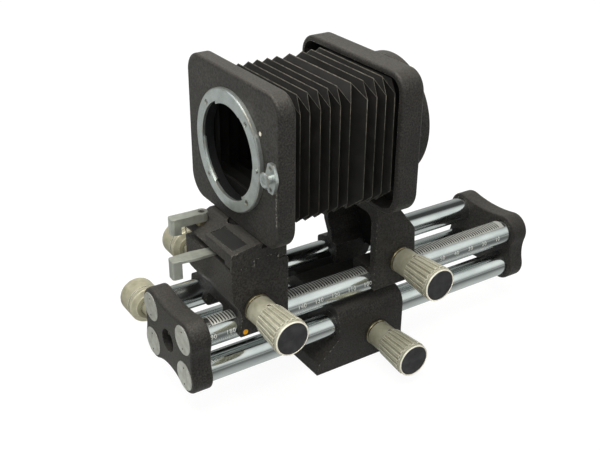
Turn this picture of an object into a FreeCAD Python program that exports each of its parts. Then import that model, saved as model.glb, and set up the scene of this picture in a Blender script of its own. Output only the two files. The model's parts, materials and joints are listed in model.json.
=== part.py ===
import FreeCAD, Part
import math
import os
from FreeCAD import Vector

# Macro bellows unit. Millimetres. The lens side faces -Y, the focusing knobs are on +X, +Z is up.
# The origin is the centre of the tripod socket, on the flat face that the base stands on.

# rails and end plates
railRadius = 7.0
railHalfSpacing = 17.15          # rail axes to the centre plane
upperRailZ = 42.7
lowerRailZ = 22.5
railClearLength = 191.2          # rail that shows between the end plates
plateFrontY = -103.6             # outer face of the front end plate
plateThickness = 10.6
plateCornerWall = 1.95           # metal outside each rail cap
plateTopDip = 1.8                # how far each side's waist lies inside the corners
plateSideDip = 1.6
plateBottomDip = 4.1
plateOuterRound = 1.7
plateInnerRound = 1.2
plateBoreRadius = 6.0            # takes the rod of a slide copier
capRim = 0.45                    # how far a cap reaches past its rail
capDepth = 1.2
capProud = 0.5
capPinRadius = 0.55
capPinPitch = 4.6

# rack and pinion
module = 0.5
pinionTeeth = 18                 # on the two carriages
basePinionTeeth = 12             # smaller, so that its shaft passes under the rail
baseRackFlat = 1.2               # flat milled along the lower rail for its rack
pressureAngle = math.radians(20)
pinionWidth = 7.0
toothBacklash = 0.12
rackEndMargin = 3.0              # plain rail left beside each end plate
rackHalfWidth = 4.5
rackOverrun = 0.3                # how far the cutter starts above the tooth tips
tipRelief = 0.03
shaftRadius = 2.0
bushRadius = 3.4
bushLength = 3.2                 # inside the casting
bushFlangeRadius = 7.05
bushFlangeThickness = 1.3
runFit = 0.05                    # radial clearance of what turns or slides
seatFit = 0.02                   # radial clearance of what is fixed

# knobs
knobGap = 0.5                    # between a bush flange and its knob
knobLength = 29.2
knobCollarLength = 10.4
knobCollarRadius = 6.9
knobInnerRadius = 7.8
knobOuterRadius = 9.2
knobRimLength = 1.8
knobRimRadius = 8.8
knobCapRadius = 8.0
knobCapDepth = 1.2
fluteCount = 20
fluteRadius = 0.8
fluteDepth = 0.45
setScrewRadius = 1.1
setScrewInset = 1.1              # its axis before the end of the collar
gripRadius = 9.5                 # plain knobs on the other side
gripLength = 16.3
gripRound = 2.4
gripGrooveDepth = 0.5
gripNeckRadius = 7.1
gripNeckLength = 1.5
gripShaftRadius = 4.0
lockInnerX = -42.0               # inner face of the carriage lock's grip
lockScrewRadius = 2.8
lockSeatX = -21.2                # where the lock's shaft enters the casting
lockTipGap = 0.4                 # between the lock's screw and the pinion shaft it stops
clampInnerX = -32.4              # inner face of the rod clamp's grip
clampScrewRadius = 2.4

# base
baseWall = 2.25                  # metal outside each lower rail
baseHalfLength = 20.3
toeReach = 34.0                  # the foot has a toe under the lens side only
toeHeight = 6.6
toeSlant = 1.5
footShoulderZ = 17.3
baseTopZ = 35.1
baseTopRadius = 9.5
basePinionY = 3.7
baseShaftEndX = 1.0
tripodBushRadius = 6.5
tripodBushHeight = 8.2
tripodThreadRadius = 2.55        # minor radius of a 1/4 inch thread

# carriages on the upper rails
flankWall = 1.85                 # metal outside the rail on the knob side
bearingWall = 1.35               # metal outside the rail on the other side
insetX = -20.0                   # other side, above its bearing
waistX = -15.0
waistZ = 53.0
flareTopZ = 62.5
flareLowZ = 49.5
flankBottomZ = 39.2
archFloorZ = 47.7

# front carriage
frontFaceY = -81.5
frontRearY = -51.3
frontDeckZ = 76.2
frontPinionY = -68.5
frontShaftEndX = -8.0
turntableRadius = 26.5
turntableHeight = 3.5
turntableFlatY = -73.2
pivotY = -63.4
pivotRadius = 5.0
pivotBottomZ = 62.0
pivotWasherRadius = 7.5
pivotWasherThickness = 1.6
dotRadius = 1.35
dotY = -75.0
dotZ = 42.1
dotDepth = 0.5

# swing table with its hood
hoodRearY = -52.2
hoodTopZ = 87.0
hoodRidgeY = -67.8
hoodFrontZ = 84.8                # front edge of the name plate side
hoodLedgeZ = 79.8                # front edge of the lever side
hoodStepX = 0.8
slotHeight = 1.6                 # what the swing lever passes through
cheekThickness = 1.4
skirtRearZ = 77.5
platformGap = 0.1
platePocketX = (1.3, 22.4)
platePocketY = (-79.0, -71.2)
platePocketDepth = 0.6
namePlateGap = 0.15              # round the plate in its pocket
namePlateSunk = 0.2
dovetailY = -61.0
dovetailTopWidth = 7.0
dovetailBottomWidth = 10.0
dovetailDepth = 2.6
dovetailGap = 0.05
dovetailHalfLength = 12.5
dovetailCentreX = 3.0

# levers
leverHalfWidth = 2.9
leverRootRadius = 3.1
leverTabDepth = 5.0
leverScrewRadius = 1.5
leverScrewDepth = 6.9            # the lower lever's screw, in the deck
shiftLeverX = -14.5
shiftLeverY = -75.2
shiftLeverTipX = -15.3
shiftLeverTipY = -91.9
shiftLeverTopZ = 88.7
shiftLeverThickness = 4.4
shiftTabBottomZ = 80.3
swingLeverX = 4.5
swingLeverY = -77.4
swingLeverTipX = 3.1
swingLeverTipY = -101.2
swingLeverThickness = 1.35
swingLeverBelly = 0.9            # how much wider the arm is at its middle
swingTabBottomZ = 68.2
leverSlotGap = 0.12
shiftBushRadius = 2.8
shiftBushBottomZ = 81.9
shiftScrewLift = 0.3             # its screw ends above the turntable, which passes under it

# standards, bellows and mounts
axisZ = 123.7
standardHalfWidth = 41.65
standardBottomZ = 87.1
frontTopRise = 37.0              # tops of the standards above the axis
rearTopRise = 35.6
standardTopRadius = 10.0
standardBottomRadius = 12.0
standardEdgeRadius = 1.5
frontStandardY = -65.9
frontStandardDepth = 8.9
frontWall = 2.6
frameSideInset = 7.05            # from the standards' sides
frameBottomZ = 96.8
frameTopGap = 0.6                # under the rear standard's rim
frameCornerRadius = 6.0
frameThickness = 1.2
frameSideBar = 7.0
frameTopBar = 6.1
frameHoleDrop = 0.4
ringThroatRadius = 22.0
ringTabReach = 1.4               # tabs' height inside the ring's wall
ringFlangeWidth = 5.8
ringThickness = 2.4
ringSpigotWall = 1.0
ringSpigotLength = 3.6
tabThickness = 1.4
tabHalfAngle = 28.0
tabAngles = (90, 210, 330)
ringScrewRadius = 1.35
ringScrewInset = 3.4             # screws' axes inside the flange's edge
ringScrewAngles = (47, 135, 225, 313)
mountDotRadius = 1.0
mountDotGap = 1.0                # between the dot and the ring
mountDotAngle = 33.0
releaseInset = 4.65              # plunger's axis inside the standard's side
releaseZ = 124.0
releasePlateHalfWidth = 4.6
releasePlateHalfHeight = 7.0
releasePlateThickness = 1.6
releaseScrewPitch = 5.0
plungerHeadRadius = 3.8
plungerHeadThickness = 1.3
plungerStemRadius = 2.0
plungerReach = 5.1
plungerTravel = 1.8
lockPinRadius = 1.0
lockPinInset = 2.4               # lock pin's axis inside the ring's edge
lockPinProud = 0.8
armThickness = 1.3
armHalfHeight = 2.6
rearStandardY = -0.8
rearStandardDepth = 12.6
rearRim = 2.7
rearWall = 4.0
bellowsSideProud = 3.6           # ridges outside the frames
bellowsTopProud = 1.4
bellowsChamfer = 6.8
bellowsSlump = (12.4, 9.0)       # the old cloth has sunk at its upper left corner
pleatDepth = 8.0
pleatEndInset = 6.4              # top and bottom where the cloth is glued to its frames
pleatTuck = 1.9                  # last ridge, inside the rear standard's rim
pleatPitch = 5.2
frontPleats = 6
rearPleats = 4
restGap = 9.2                    # one fold that never closed, between the two runs of pleats
firstRidgeY = -53.1
clothThickness = 0.6
drumRadius = 32.2
drumLength = 7.6
drumBore = 25.0
turnRingRadius = 31.4
turnRingLength = 6.4
turnRingGap = 0.25
turnHubRadius = 24.6
turnRetainerRadius = 27.0
turnRetainerThickness = 1.6
retainerGap = 0.6                # before the rear standard's back
turnBore = 21.1
cameraLugRadius = 23.2
cameraTubeRadius = 21.9
cameraBore = 19.5
cameraTubeLength = 5.0
cameraScrewPitch = 27.0
cameraScrewAngles = (45, 135, 225, 315)
cameraFlangeRadius = 29.4
cameraSeatDepth = 1.5            # how far the flange is let into the turning ring

# rear carriage
rearFlankY = 0.6
rearPinionY = 17.3
rearShaftEndX = 9.0
rearHeelY = 26.4
archWallX = (-12.5, 21.6)
archTopZ = 81.8
archBackY = 19.4
archGap = 7.9                    # half the open way between the two bearings
pinionHouseRadius = 7.4
archWaist = 3.6                  # the left wall follows the waist outside it
rearWaistZ = 56.0

# worked out from the above
addendum = module
dedendum = 1.25 * module
rackPitch = math.pi * module
upperPinionZ = upperRailZ + railRadius - addendum + module * pinionTeeth / 2
lowerPinionZ = lowerRailZ - railRadius + baseRackFlat + addendum - module * basePinionTeeth / 2
capRadius = railRadius + capRim
plateCornerRadius = capRadius + plateCornerWall
baseHalfWidth = railHalfSpacing + railRadius + baseWall
flankX = railHalfSpacing + railRadius + flankWall
bearingX = -railHalfSpacing - railRadius - bearingWall
plateInnerY = plateFrontY + plateThickness
rearInnerY = plateInnerY + railClearLength
plateRearY = rearInnerY + plateThickness
plateMidZ = (upperRailZ + lowerRailZ) / 2
clampZ = plateMidZ
clampSeatX = -railHalfSpacing - plateCornerRadius + plateSideDip + 0.4
clampY = plateFrontY + plateThickness / 2
turntableTopZ = frontDeckZ + turntableHeight
slotTopZ = frontDeckZ + slotHeight
shiftScrewBottomZ = turntableTopZ + shiftScrewLift
ringWallRadius = ringThroatRadius + ringTabReach
ringSpigotRadius = ringWallRadius + ringSpigotWall
ringOuterRadius = ringWallRadius + ringFlangeWidth
ringScrewPitch = ringOuterRadius - ringScrewInset
lockPinPitch = ringOuterRadius - lockPinInset
mountDotPitch = ringOuterRadius + mountDotGap + mountDotRadius
releaseX = standardHalfWidth - releaseInset
standardTopZ = axisZ + frontTopRise
rearTopZ = axisZ + rearTopRise
frameHalfWidth = standardHalfWidth - frameSideInset
frameHalfHeight = (rearTopZ - rearRim - frameTopGap - frameBottomZ) / 2
frameHoleHalfWidth = frameHalfWidth - frameSideBar
frameHoleHalfHeight = frameHalfHeight - frameTopBar
bellowsZ = frameBottomZ + frameHalfHeight
bellowsHalfWidth = frameHalfWidth + bellowsSideProud
bellowsHalfHeight = frameHalfHeight + bellowsTopProud
frontStandardRear = frontStandardY + frontStandardDepth
rearStandardRear = rearStandardY + rearStandardDepth
drumRear = rearStandardRear + drumLength
cameraSeatY = drumRear + turnRingGap + turnRingLength - cameraSeatDepth
frontFrameY = frontStandardY + frontWall + armThickness + plungerTravel + 1.1
rearFrameY = rearStandardRear - rearWall - frameThickness
bellowsStartY = frontFrameY + frameThickness + 0.1
bellowsEndY = rearFrameY - 0.1
far = 400.0                      # longer than anything in the unit


def box(x0, x1, y0, y1, z0, z1):
    return Part.makeBox(x1 - x0, y1 - y0, z1 - z0, Vector(x0, y0, z0))


def rodX(radius, x0, x1, y, z):
    return Part.makeCylinder(radius, x1 - x0, Vector(x0, y, z), Vector(1, 0, 0))


def rodY(radius, y0, y1, x, z):
    return Part.makeCylinder(radius, y1 - y0, Vector(x, y0, z), Vector(0, 1, 0))


def rodZ(radius, z0, z1, x, y):
    return Part.makeCylinder(radius, z1 - z0, Vector(x, y, z0), Vector(0, 0, 1))


def roundedPolygon(corners, place):
    """Closed wire through (u, v, radius) corners; place turns u, v into a point."""
    edges = []
    ends = []
    count = len(corners)
    for i, (u, v, radius) in enumerate(corners):
        here = Vector(u, v, 0)
        before = Vector(corners[i - 1][0], corners[i - 1][1], 0) - here
        after = Vector(corners[(i + 1) % count][0], corners[(i + 1) % count][1], 0) - here
        if radius == 0:
            ends.append((here, None, here))
            continue
        before.normalize()
        after.normalize()
        half = before.getAngle(after) / 2
        run = radius / math.tan(half)
        middle = before + after
        middle.normalize()
        centre = here + middle * (radius / math.sin(half))
        ends.append((here + before * run, centre - middle * radius, here + after * run))
    for i, (start, mid, stop) in enumerate(ends):
        if mid is not None:
            edges.append(Part.Arc(place(start), place(mid), place(stop)).toShape())
        onward = ends[(i + 1) % count][0]
        if (onward - stop).Length > 1e-6:
            edges.append(Part.LineSegment(place(stop), place(onward)).toShape())
    return Part.Wire(edges)


def prismX(corners, x0, x1):
    wire = roundedPolygon(corners, lambda p: Vector(x0, p.x, p.y))
    return Part.Face(wire).extrude(Vector(x1 - x0, 0, 0))


def prismY(corners, y0, y1):
    wire = roundedPolygon(corners, lambda p: Vector(p.x, y0, p.y))
    return Part.Face(wire).extrude(Vector(0, y1 - y0, 0))


def prismZ(corners, z0, z1):
    wire = roundedPolygon(corners, lambda p: Vector(p.x, p.y, z0))
    return Part.Face(wire).extrude(Vector(0, 0, z1 - z0))


def turned(profile, origin, axis):
    """Solid of revolution: profile lists (distance along the axis, radius)."""
    points = [Vector(r, 0, d) for d, r in profile]
    points = [Vector(0, 0, profile[0][0])] + points + [Vector(0, 0, profile[-1][0])]
    clean = [p for i, p in enumerate(points) if i == 0 or (p - points[i - 1]).Length > 1e-6]
    face = Part.Face(Part.makePolygon(clean + [clean[0]]))
    solid = face.revolve(Vector(0, 0, 0), Vector(0, 0, 1), 360)
    solid.Placement = FreeCAD.Placement(origin, FreeCAD.Rotation(Vector(0, 0, 1), axis))
    return solid


def fused(shapes):
    body = shapes[0].multiFuse(shapes[1:]) if len(shapes) > 1 else shapes[0]
    return body.removeSplitter()


def group(shapes):
    return Part.Compound(shapes)


def filletWhere(solid, radius, test):
    edges = [e for e in solid.Edges if test(e)]
    return solid.makeFillet(radius, edges) if edges else solid


def plateOutline():
    """Four round corners about the rail axes, joined by shallow waists."""
    halfHeight = (upperRailZ - lowerRailZ) / 2
    sides = ((railHalfSpacing, plateTopDip, 90), (halfHeight, plateSideDip, 180),
             (railHalfSpacing, plateBottomDip, 270), (halfHeight, plateSideDip, 0))
    edges = []
    points = []
    for half, dip, angle in sides:
        reach = plateCornerRadius - dip
        waist = (half ** 2 + reach ** 2 - plateCornerRadius ** 2) / (2 * dip)
        out = Vector(math.cos(math.radians(angle)), math.sin(math.radians(angle)), 0)
        along = Vector(-out.y, out.x, 0)
        offset = halfHeight if angle in (90, 270) else railHalfSpacing
        centre = out * (offset + reach + waist)
        touch = []
        for sign in (-1, 1):
            corner = out * offset + along * (sign * half)
            touch.append(corner + (centre - corner).normalize() * plateCornerRadius)
        points.append((touch[0], centre - out * waist, touch[1]))
    for i, (start, mid, stop) in enumerate(points):
        edges.append(Part.Arc(start, mid, stop).toShape())
        onward = points[(i + 1) % 4][0]
        corner = Vector(math.copysign(railHalfSpacing, stop.x), math.copysign(halfHeight, stop.y), 0)
        outward = (stop + onward) * 0.5 - corner
        tip = corner + outward.normalize() * plateCornerRadius
        edges.append(Part.Arc(stop, tip, onward).toShape())
    wire = Part.Wire(edges)
    turn = FreeCAD.Rotation(Vector(1, 0, 0), 90)
    wire.Placement = FreeCAD.Placement(Vector(0, 0, plateMidZ), turn)
    return wire


def railCentres():
    return [(side * railHalfSpacing, z) for z in (upperRailZ, lowerRailZ) for side in (-1, 1)]


def liesAtY(edge, y):
    return abs(edge.BoundBox.YMin - y) + abs(edge.BoundBox.YMax - y) < 1e-4


def endPlate(y0, outward):
    """outward is -1 for the front plate, whose open face looks to -Y, and 1 for the rear one."""
    face = Part.Face(plateOutline())
    plate = face.extrude(Vector(0, plateThickness, 0))
    plate.translate(Vector(0, y0 - plate.BoundBox.YMin, 0))
    outerY = y0 if outward < 0 else y0 + plateThickness
    innerY = y0 + plateThickness if outward < 0 else y0
    for edgeY, radius in ((outerY, plateOuterRound), (innerY, plateInnerRound)):
        plate = filletWhere(plate, radius, lambda e: liesAtY(e, edgeY))
    cuts = [rodY(plateBoreRadius, y0 - 1, y0 + plateThickness + 1, 0, plateMidZ)]
    for x, z in railCentres():
        cuts.append(rodY(railRadius + seatFit, y0 - 1, y0 + plateThickness + 1, x, z))
        seat0 = min(outerY, outerY - outward * capDepth)
        cuts.append(rodY(capRadius + seatFit, seat0, seat0 + capDepth, x, z))
    return plate.cut(cuts)


def railCaps(outerY, outward):
    caps = []
    for x, z in railCentres():
        start = outerY - outward * capDepth
        solid = turned([(0, capRadius), (capDepth + capProud - 0.3, capRadius),
                        (capDepth + capProud, capRadius - 0.3)],
                       Vector(x, start, z), Vector(0, outward, 0))
        for side in (-1, 1):
            pinZ = z + side * capPinPitch
            y0 = min(outerY - outward * 0.2, outerY + outward * 2)
            solid = solid.cut(rodY(capPinRadius, y0, y0 + 2.2, x, pinZ))
        caps.append(solid)
    return group(caps)


def rail(x, z):
    return rodY(railRadius, plateFrontY + capDepth, plateRearY - capDepth, x, z)


def rackGaps(z, side, flat):
    """Straight-sided tooth gaps across the rail's top (side 1) or underside (side -1)."""
    halfRoot = rackPitch / 4 - dedendum * math.tan(pressureAngle)
    halfTip = rackPitch / 4 + (addendum + rackOverrun) * math.tan(pressureAngle) + toothBacklash / 2
    count = int((railClearLength - 2 * rackEndMargin) / rackPitch)
    phase = rackPhase(side)
    first = phase + math.ceil((plateInnerY + rackEndMargin - phase) / rackPitch) * rackPitch
    tipZ = z + side * (railRadius - flat + rackOverrun)
    rootZ = z + side * (railRadius - flat - addendum - dedendum)
    x0 = railHalfSpacing - rackHalfWidth
    gaps = []
    for i in range(count - 1):
        y = first + i * rackPitch
        corners = [Vector(x0, y - halfRoot, rootZ), Vector(x0, y + halfRoot, rootZ),
                   Vector(x0, y + halfTip, tipZ), Vector(x0, y - halfTip, tipZ)]
        gap = Part.Face(Part.makePolygon(corners + corners[:1]))
        gaps.append(gap.extrude(Vector(2 * rackHalfWidth, 0, 0)))
    return gaps


def rackPhase(side):
    """A gap lies under the middle of a pinion: the upper rack serves the front pinion first."""
    return frontPinionY if side > 0 else basePinionY


def railWithRack(z, side, flat):
    body = rail(railHalfSpacing, z)
    if flat:
        low, high = sorted((z + side * (railRadius - flat), z + side * (railRadius + 1)))
        body = body.cut(box(0, 2 * railHalfSpacing, plateInnerY + rackEndMargin / 2,
                            rearInnerY - rackEndMargin / 2, low, high))
    return body.cut(Part.Compound(rackGaps(z, side, flat)))


def involutePoint(radius, pitchRadius, halfAngle, side):
    """Point of a tooth flank at a radius; halfAngle is the tooth's half angle at the pitch circle."""
    baseRadius = pitchRadius * math.cos(pressureAngle)
    roll = math.tan(pressureAngle) - pressureAngle
    lean = 0.0
    if radius > baseRadius:
        here = math.acos(baseRadius / radius)
        lean = math.tan(here) - here
    angle = side * (halfAngle + roll - lean)
    return Vector(0, radius * math.sin(angle), radius * math.cos(angle))


def pinionTooth(teeth, index, phase):
    pitchRadius = module * teeth / 2
    baseRadius = pitchRadius * math.cos(pressureAngle)
    rootRadius = pitchRadius - dedendum
    tipRadius = pitchRadius + addendum - tipRelief
    halfAngle = (rackPitch / 4 - toothBacklash / 2) / pitchRadius
    radii = (min(rootRadius, baseRadius) - 0.2, baseRadius, (baseRadius + tipRadius) / 2, tipRadius)
    left = [involutePoint(r, pitchRadius, halfAngle, -1) for r in radii]
    right = [involutePoint(r, pitchRadius, halfAngle, 1) for r in reversed(radii)]
    edges = [Part.LineSegment(left[0], left[1]).toShape(),
             Part.Arc(left[1], left[2], left[3]).toShape(),
             Part.Arc(left[3], Vector(0, 0, tipRadius), right[0]).toShape(),
             Part.Arc(right[0], right[1], right[2]).toShape(),
             Part.LineSegment(right[2], right[3]).toShape(),
             Part.LineSegment(right[3], left[0]).toShape()]
    tooth = Part.Face(Part.Wire(edges)).extrude(Vector(pinionWidth, 0, 0))
    tooth.rotate(Vector(0, 0, 0), Vector(1, 0, 0), 360.0 * index / teeth + phase)
    return tooth


def pinionShaft(leftX, rightX, y, z, teeth, side):
    """Shaft with its pinion cut solid on it, turned so that a tooth points into its gap."""
    off = (y - rackPhase(side)) / rackPitch
    turn = (off - math.floor(off)) * 360.0 / teeth
    phase = 180.0 - turn if side > 0 else turn
    core = rodX(module * teeth / 2 - dedendum, 0, pinionWidth, 0, 0)
    gear = fused([core] + [pinionTooth(teeth, i, phase) for i in range(teeth)])
    gear.translate(Vector(railHalfSpacing - pinionWidth / 2, y, z))
    return fused([rodX(shaftRadius, leftX, rightX, y, z), gear])


def pinionCut(leftX, wallX, y, z, teeth):
    """What a casting gives way for a pinion shaft, its bush and its pinion."""
    chamber = module * teeth / 2 + addendum + 0.5
    start = railHalfSpacing - pinionWidth / 2 - 0.4
    return [rodX(shaftRadius + runFit, leftX - 0.4, wallX + 1, y, z),
            rodX(chamber, start, start + pinionWidth + 0.8, y, z),
            rodX(bushRadius + seatFit, wallX - bushLength, wallX + 1, y, z)]


def pinionBush(wallX, y, z):
    sleeve = rodX(bushRadius, wallX - bushLength, wallX, y, z)
    flange = turned([(0, bushFlangeRadius), (bushFlangeThickness - 0.4, bushFlangeRadius),
                     (bushFlangeThickness, bushFlangeRadius - 0.4)],
                    Vector(wallX, y, z), Vector(1, 0, 0))
    bore = rodX(shaftRadius + runFit, wallX - 6, wallX + 4, y, z)
    return fused([sleeve, flange]).cut(bore)


def flutedKnob(wallX, y, z):
    start = wallX + bushFlangeThickness + knobGap
    rimStart = knobLength - knobRimLength
    grooveDepth = 0.35
    profile = [(0, knobCollarRadius - 0.4), (0.4, knobCollarRadius),
               (knobCollarLength - 0.5, knobCollarRadius), (knobCollarLength, knobInnerRadius),
               (rimStart - 0.6, knobOuterRadius), (rimStart, knobRimRadius - grooveDepth),
               (rimStart + 0.3, knobRimRadius), (knobLength - 0.4, knobRimRadius),
               (knobLength, knobRimRadius - 0.4)]
    knob = turned(profile, Vector(start, y, z), Vector(1, 0, 0))
    lift = fluteRadius - fluteDepth
    foot = Vector(start + knobCollarLength - 0.8, y, z + knobInnerRadius + lift)
    head = Vector(start + rimStart + 0.2, y, z + knobOuterRadius + lift)
    flute = Part.makeCylinder(fluteRadius, (head - foot).Length, foot, head - foot)
    cuts = []
    for i in range(fluteCount):
        copy = flute.copy()
        copy.rotate(Vector(0, y, z), Vector(1, 0, 0), 360.0 * i / fluteCount)
        cuts.append(copy)
    cuts.append(rodX(shaftRadius + seatFit, start - 1, start + knobLength - 4, y, z))
    end = start + knobLength
    cuts.append(rodX(knobCapRadius + seatFit, end - knobCapDepth, end + 1, y, z))
    screwX = start + knobCollarLength - setScrewInset
    cuts.append(rodZ(setScrewRadius + seatFit, z, z + knobOuterRadius + 1, screwX, y))
    return knob.cut(cuts)


def knobCap(wallX, y, z):
    start = wallX + bushFlangeThickness + knobGap + knobLength - knobCapDepth
    return turned([(0, knobCapRadius), (knobCapDepth - 0.35, knobCapRadius),
                   (knobCapDepth - 0.15, knobCapRadius - 0.2)], Vector(start, y, z), Vector(1, 0, 0))


def setScrew(wallX, y, z):
    x = wallX + bushFlangeThickness + knobGap + knobCollarLength - setScrewInset
    bottom = z + shaftRadius
    top = z + knobCollarRadius - 0.7
    hexCut = Part.Face(Part.makePolygon([
        Vector(x + 0.55 * math.cos(math.radians(a)), y + 0.55 * math.sin(math.radians(a)), top - 1.2)
        for a in range(0, 361, 60)])).extrude(Vector(0, 0, 2))
    return rodZ(setScrewRadius, bottom, top, x, y).cut(hexCut)


def gripKnob(innerX, wallX, y, z, screwRadius, screwEndX):
    """Plain knob on the -X side, turned in one piece with its shaft and its screw."""
    radius = gripRadius
    middle = gripNeckLength + 2.6
    profile = [(0, gripNeckRadius - 0.3), (0.3, gripNeckRadius), (gripNeckLength, radius - 0.35),
               (gripNeckLength + 0.35, radius), (middle, radius), (middle + 0.35, radius - gripGrooveDepth),
               (middle + 0.75, radius - gripGrooveDepth), (middle + 1.1, radius)]
    steps = 5
    for i in range(steps + 1):
        a = math.pi / 2 * i / steps
        profile.append((gripLength - gripRound + gripRound * math.sin(a),
                        radius - gripRound + gripRound * math.cos(a)))
    grip = turned(profile, Vector(innerX, y, z), Vector(-1, 0, 0))
    shaft = rodX(gripShaftRadius, innerX - 1, wallX - knobGap, y, z)
    screw = turned([(0, screwRadius), (screwEndX - wallX, screwRadius),
                    (screwEndX - wallX + knobGap, screwRadius - knobGap)],
                   Vector(wallX - knobGap, y, z), Vector(1, 0, 0))
    return fused([grip, shaft, screw])


def baseCarriage():
    side = [(-toeReach, 0, 0.6), (baseHalfLength, 0, 0.6), (baseHalfLength, baseTopZ, 1.0),
            (-baseHalfLength, baseTopZ, 1.0), (-baseHalfLength, footShoulderZ, 6.0),
            (toeSlant - toeReach, toeHeight, 2.0)]
    front = [(-baseHalfWidth, 0, 0.6), (baseHalfWidth, 0, 0.6), (baseHalfWidth, baseTopZ, baseTopRadius),
             (-baseHalfWidth, baseTopZ, baseTopRadius)]
    body = prismX(side, -baseHalfWidth, baseHalfWidth).common(prismY(front, -far / 2, far / 2))
    cuts = [rodY(railRadius + runFit, -far / 2, far / 2, x, lowerRailZ)
            for x in (-railHalfSpacing, railHalfSpacing)]
    cuts.append(rodZ(tripodBushRadius + seatFit, -1, tripodBushHeight + 0.1, 0, 0))
    cuts += pinionCut(baseShaftEndX - 1, baseHalfWidth, basePinionY, lowerPinionZ, basePinionTeeth)
    return body.cut(cuts)


def tripodBush():
    profile = [(0, tripodBushRadius - 0.5), (0.5, tripodBushRadius), (tripodBushHeight, tripodBushRadius)]
    blank = turned(profile, Vector(0, 0, 0), Vector(0, 0, 1))
    return blank.cut(rodZ(tripodThreadRadius, -1, tripodBushHeight + 1, 0, 0))


def carriageSection(topZ, lowZ):
    """Outline across both carriages: straight on the knob side, waisted above the rail on the other."""
    return [(flankX, lowZ, 1.2), (flankX, topZ, 1.0), (insetX, topZ, 1.0), (insetX, flareTopZ, 6.0),
            (waistX, waistZ, 3.0), (bearingX, flareLowZ, 2.0), (bearingX, lowZ, 1.2)]


def archedUnderside(y0, y1):
    """The space between the two bearings, open below."""
    inner = railHalfSpacing - railRadius - 2.2
    outline = [(-inner, 0, 0), (inner, 0, 0), (inner, archFloorZ, 2.0), (-inner, archFloorZ, 2.0)]
    return prismY(outline, y0, y1)


def frontCarriage():
    side = [(frontRearY, flankBottomZ, 1.5), (frontRearY, frontDeckZ, 0.8), (frontFaceY, frontDeckZ, 0.8),
            (frontFaceY, 60.0, 9.0), (frontFaceY + 4.8, 53.0, 7.0), (frontFaceY + 4.4, 46.0, 3.0),
            (frontFaceY + 2.1, flankBottomZ, 2.5)]
    section = carriageSection(frontDeckZ, flankBottomZ)
    body = prismX(side, bearingX, flankX).common(prismY(section, frontFaceY, frontRearY))
    disc = rodZ(turntableRadius, frontDeckZ - 1, turntableTopZ, 0, pivotY)
    disc = disc.common(box(insetX, flankX, turntableFlatY, hoodRearY, 0, far))
    body = fused([body, disc])
    cuts = [rodY(railRadius + runFit, -far / 2, far / 2, x, upperRailZ)
            for x in (-railHalfSpacing, railHalfSpacing)]
    cuts.append(archedUnderside(-far / 2, far / 2))
    cuts += pinionCut(frontShaftEndX - 0.5, flankX, frontPinionY, upperPinionZ, pinionTeeth)
    cuts.append(rodZ(pivotRadius + runFit, 0, far, 0, pivotY))
    cuts.append(rodZ(pivotWasherRadius + 0.5, 0, pivotBottomZ + pivotWasherThickness + 0.1, 0, pivotY))
    cuts.append(rodX(lockScrewRadius + runFit, -far, frontShaftEndX, frontPinionY, upperPinionZ))
    cuts.append(rodX(gripShaftRadius + 0.5, -far, lockSeatX, frontPinionY, upperPinionZ))
    cuts.append(rodX(dotRadius + seatFit, flankX - dotDepth, flankX + 1, dotY, dotZ))
    cuts.append(rodZ(leverScrewRadius + seatFit, frontDeckZ - leverScrewDepth - 0.1, frontDeckZ + 1,
                     swingLeverX, swingLeverY))
    return body.cut(cuts)


def swingTable():
    sideX = (insetX, flankX)
    low = frontDeckZ + platformGap
    back = [(hoodRearY, low, 0), (hoodRearY, hoodTopZ, 0.8), (hoodRidgeY, hoodTopZ, 0)]
    plateSide = back + [(frontFaceY, hoodFrontZ, 0.8), (frontFaceY, low, 0)]
    leverSide = back + [(frontFaceY, hoodLedgeZ, 0.8), (frontFaceY, low, 0)]
    body = fused([prismX(leverSide, sideX[0], hoodStepX), prismX(plateSide, hoodStepX, sideX[1])])
    cuts = [rodZ(turntableRadius + 0.15, 0, turntableTopZ + platformGap, 0, pivotY),
            box(sideX[0] + cheekThickness, sideX[1] - cheekThickness, frontFaceY - 1, pivotY, 0, slotTopZ),
            box(sideX[0] - 1, sideX[1] + 1, pivotY + 5, hoodRearY + 1, 0, skirtRearZ)]
    cuts.append(prismX([(dovetailY - dovetailTopWidth / 2 - dovetailGap, hoodTopZ + 0.01, 0),
                        (dovetailY + dovetailTopWidth / 2 + dovetailGap, hoodTopZ + 0.01, 0),
                        (dovetailY + dovetailBottomWidth / 2 + dovetailGap, hoodTopZ - dovetailDepth, 0),
                        (dovetailY - dovetailBottomWidth / 2 - dovetailGap, hoodTopZ - dovetailDepth, 0)],
                       sideX[0] - 1, sideX[1] + 1))
    cuts.append(rodZ(pivotRadius + seatFit, 0, far, 0, pivotY))
    cuts.append(rodZ(leverScrewRadius + seatFit, shiftScrewBottomZ - 0.1, far, shiftLeverX, shiftLeverY))
    leverBottomZ = shiftLeverTopZ - shiftLeverThickness
    cuts.append(rodZ(leverRootRadius + 0.7, leverBottomZ - leverSlotGap, far, shiftLeverX, shiftLeverY))
    cuts.append(rodZ(shiftBushRadius + seatFit, shiftBushBottomZ, far, shiftLeverX, shiftLeverY))
    cuts.append(namePocket(0, hoodTopZ - hoodFrontZ + platePocketDepth))
    return body.cut(cuts)


def hoodSlopeZ(y):
    return hoodFrontZ + (hoodTopZ - hoodFrontZ) * (y - frontFaceY) / (hoodRidgeY - frontFaceY)


def namePocket(rim, height):
    """Slab on the floor of the pocket in the hood's slope; rim shrinks its outline."""
    y0 = platePocketY[0] + rim
    y1 = platePocketY[1] - rim
    z0 = hoodSlopeZ(y0) - platePocketDepth
    z1 = hoodSlopeZ(y1) - platePocketDepth
    side = [(y0, z0, 0), (y1, z1, 0), (y1, z1 + height, 0), (y0, z0 + height, 0)]
    return prismX(side, platePocketX[0] + rim, platePocketX[1] - rim)


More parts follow.
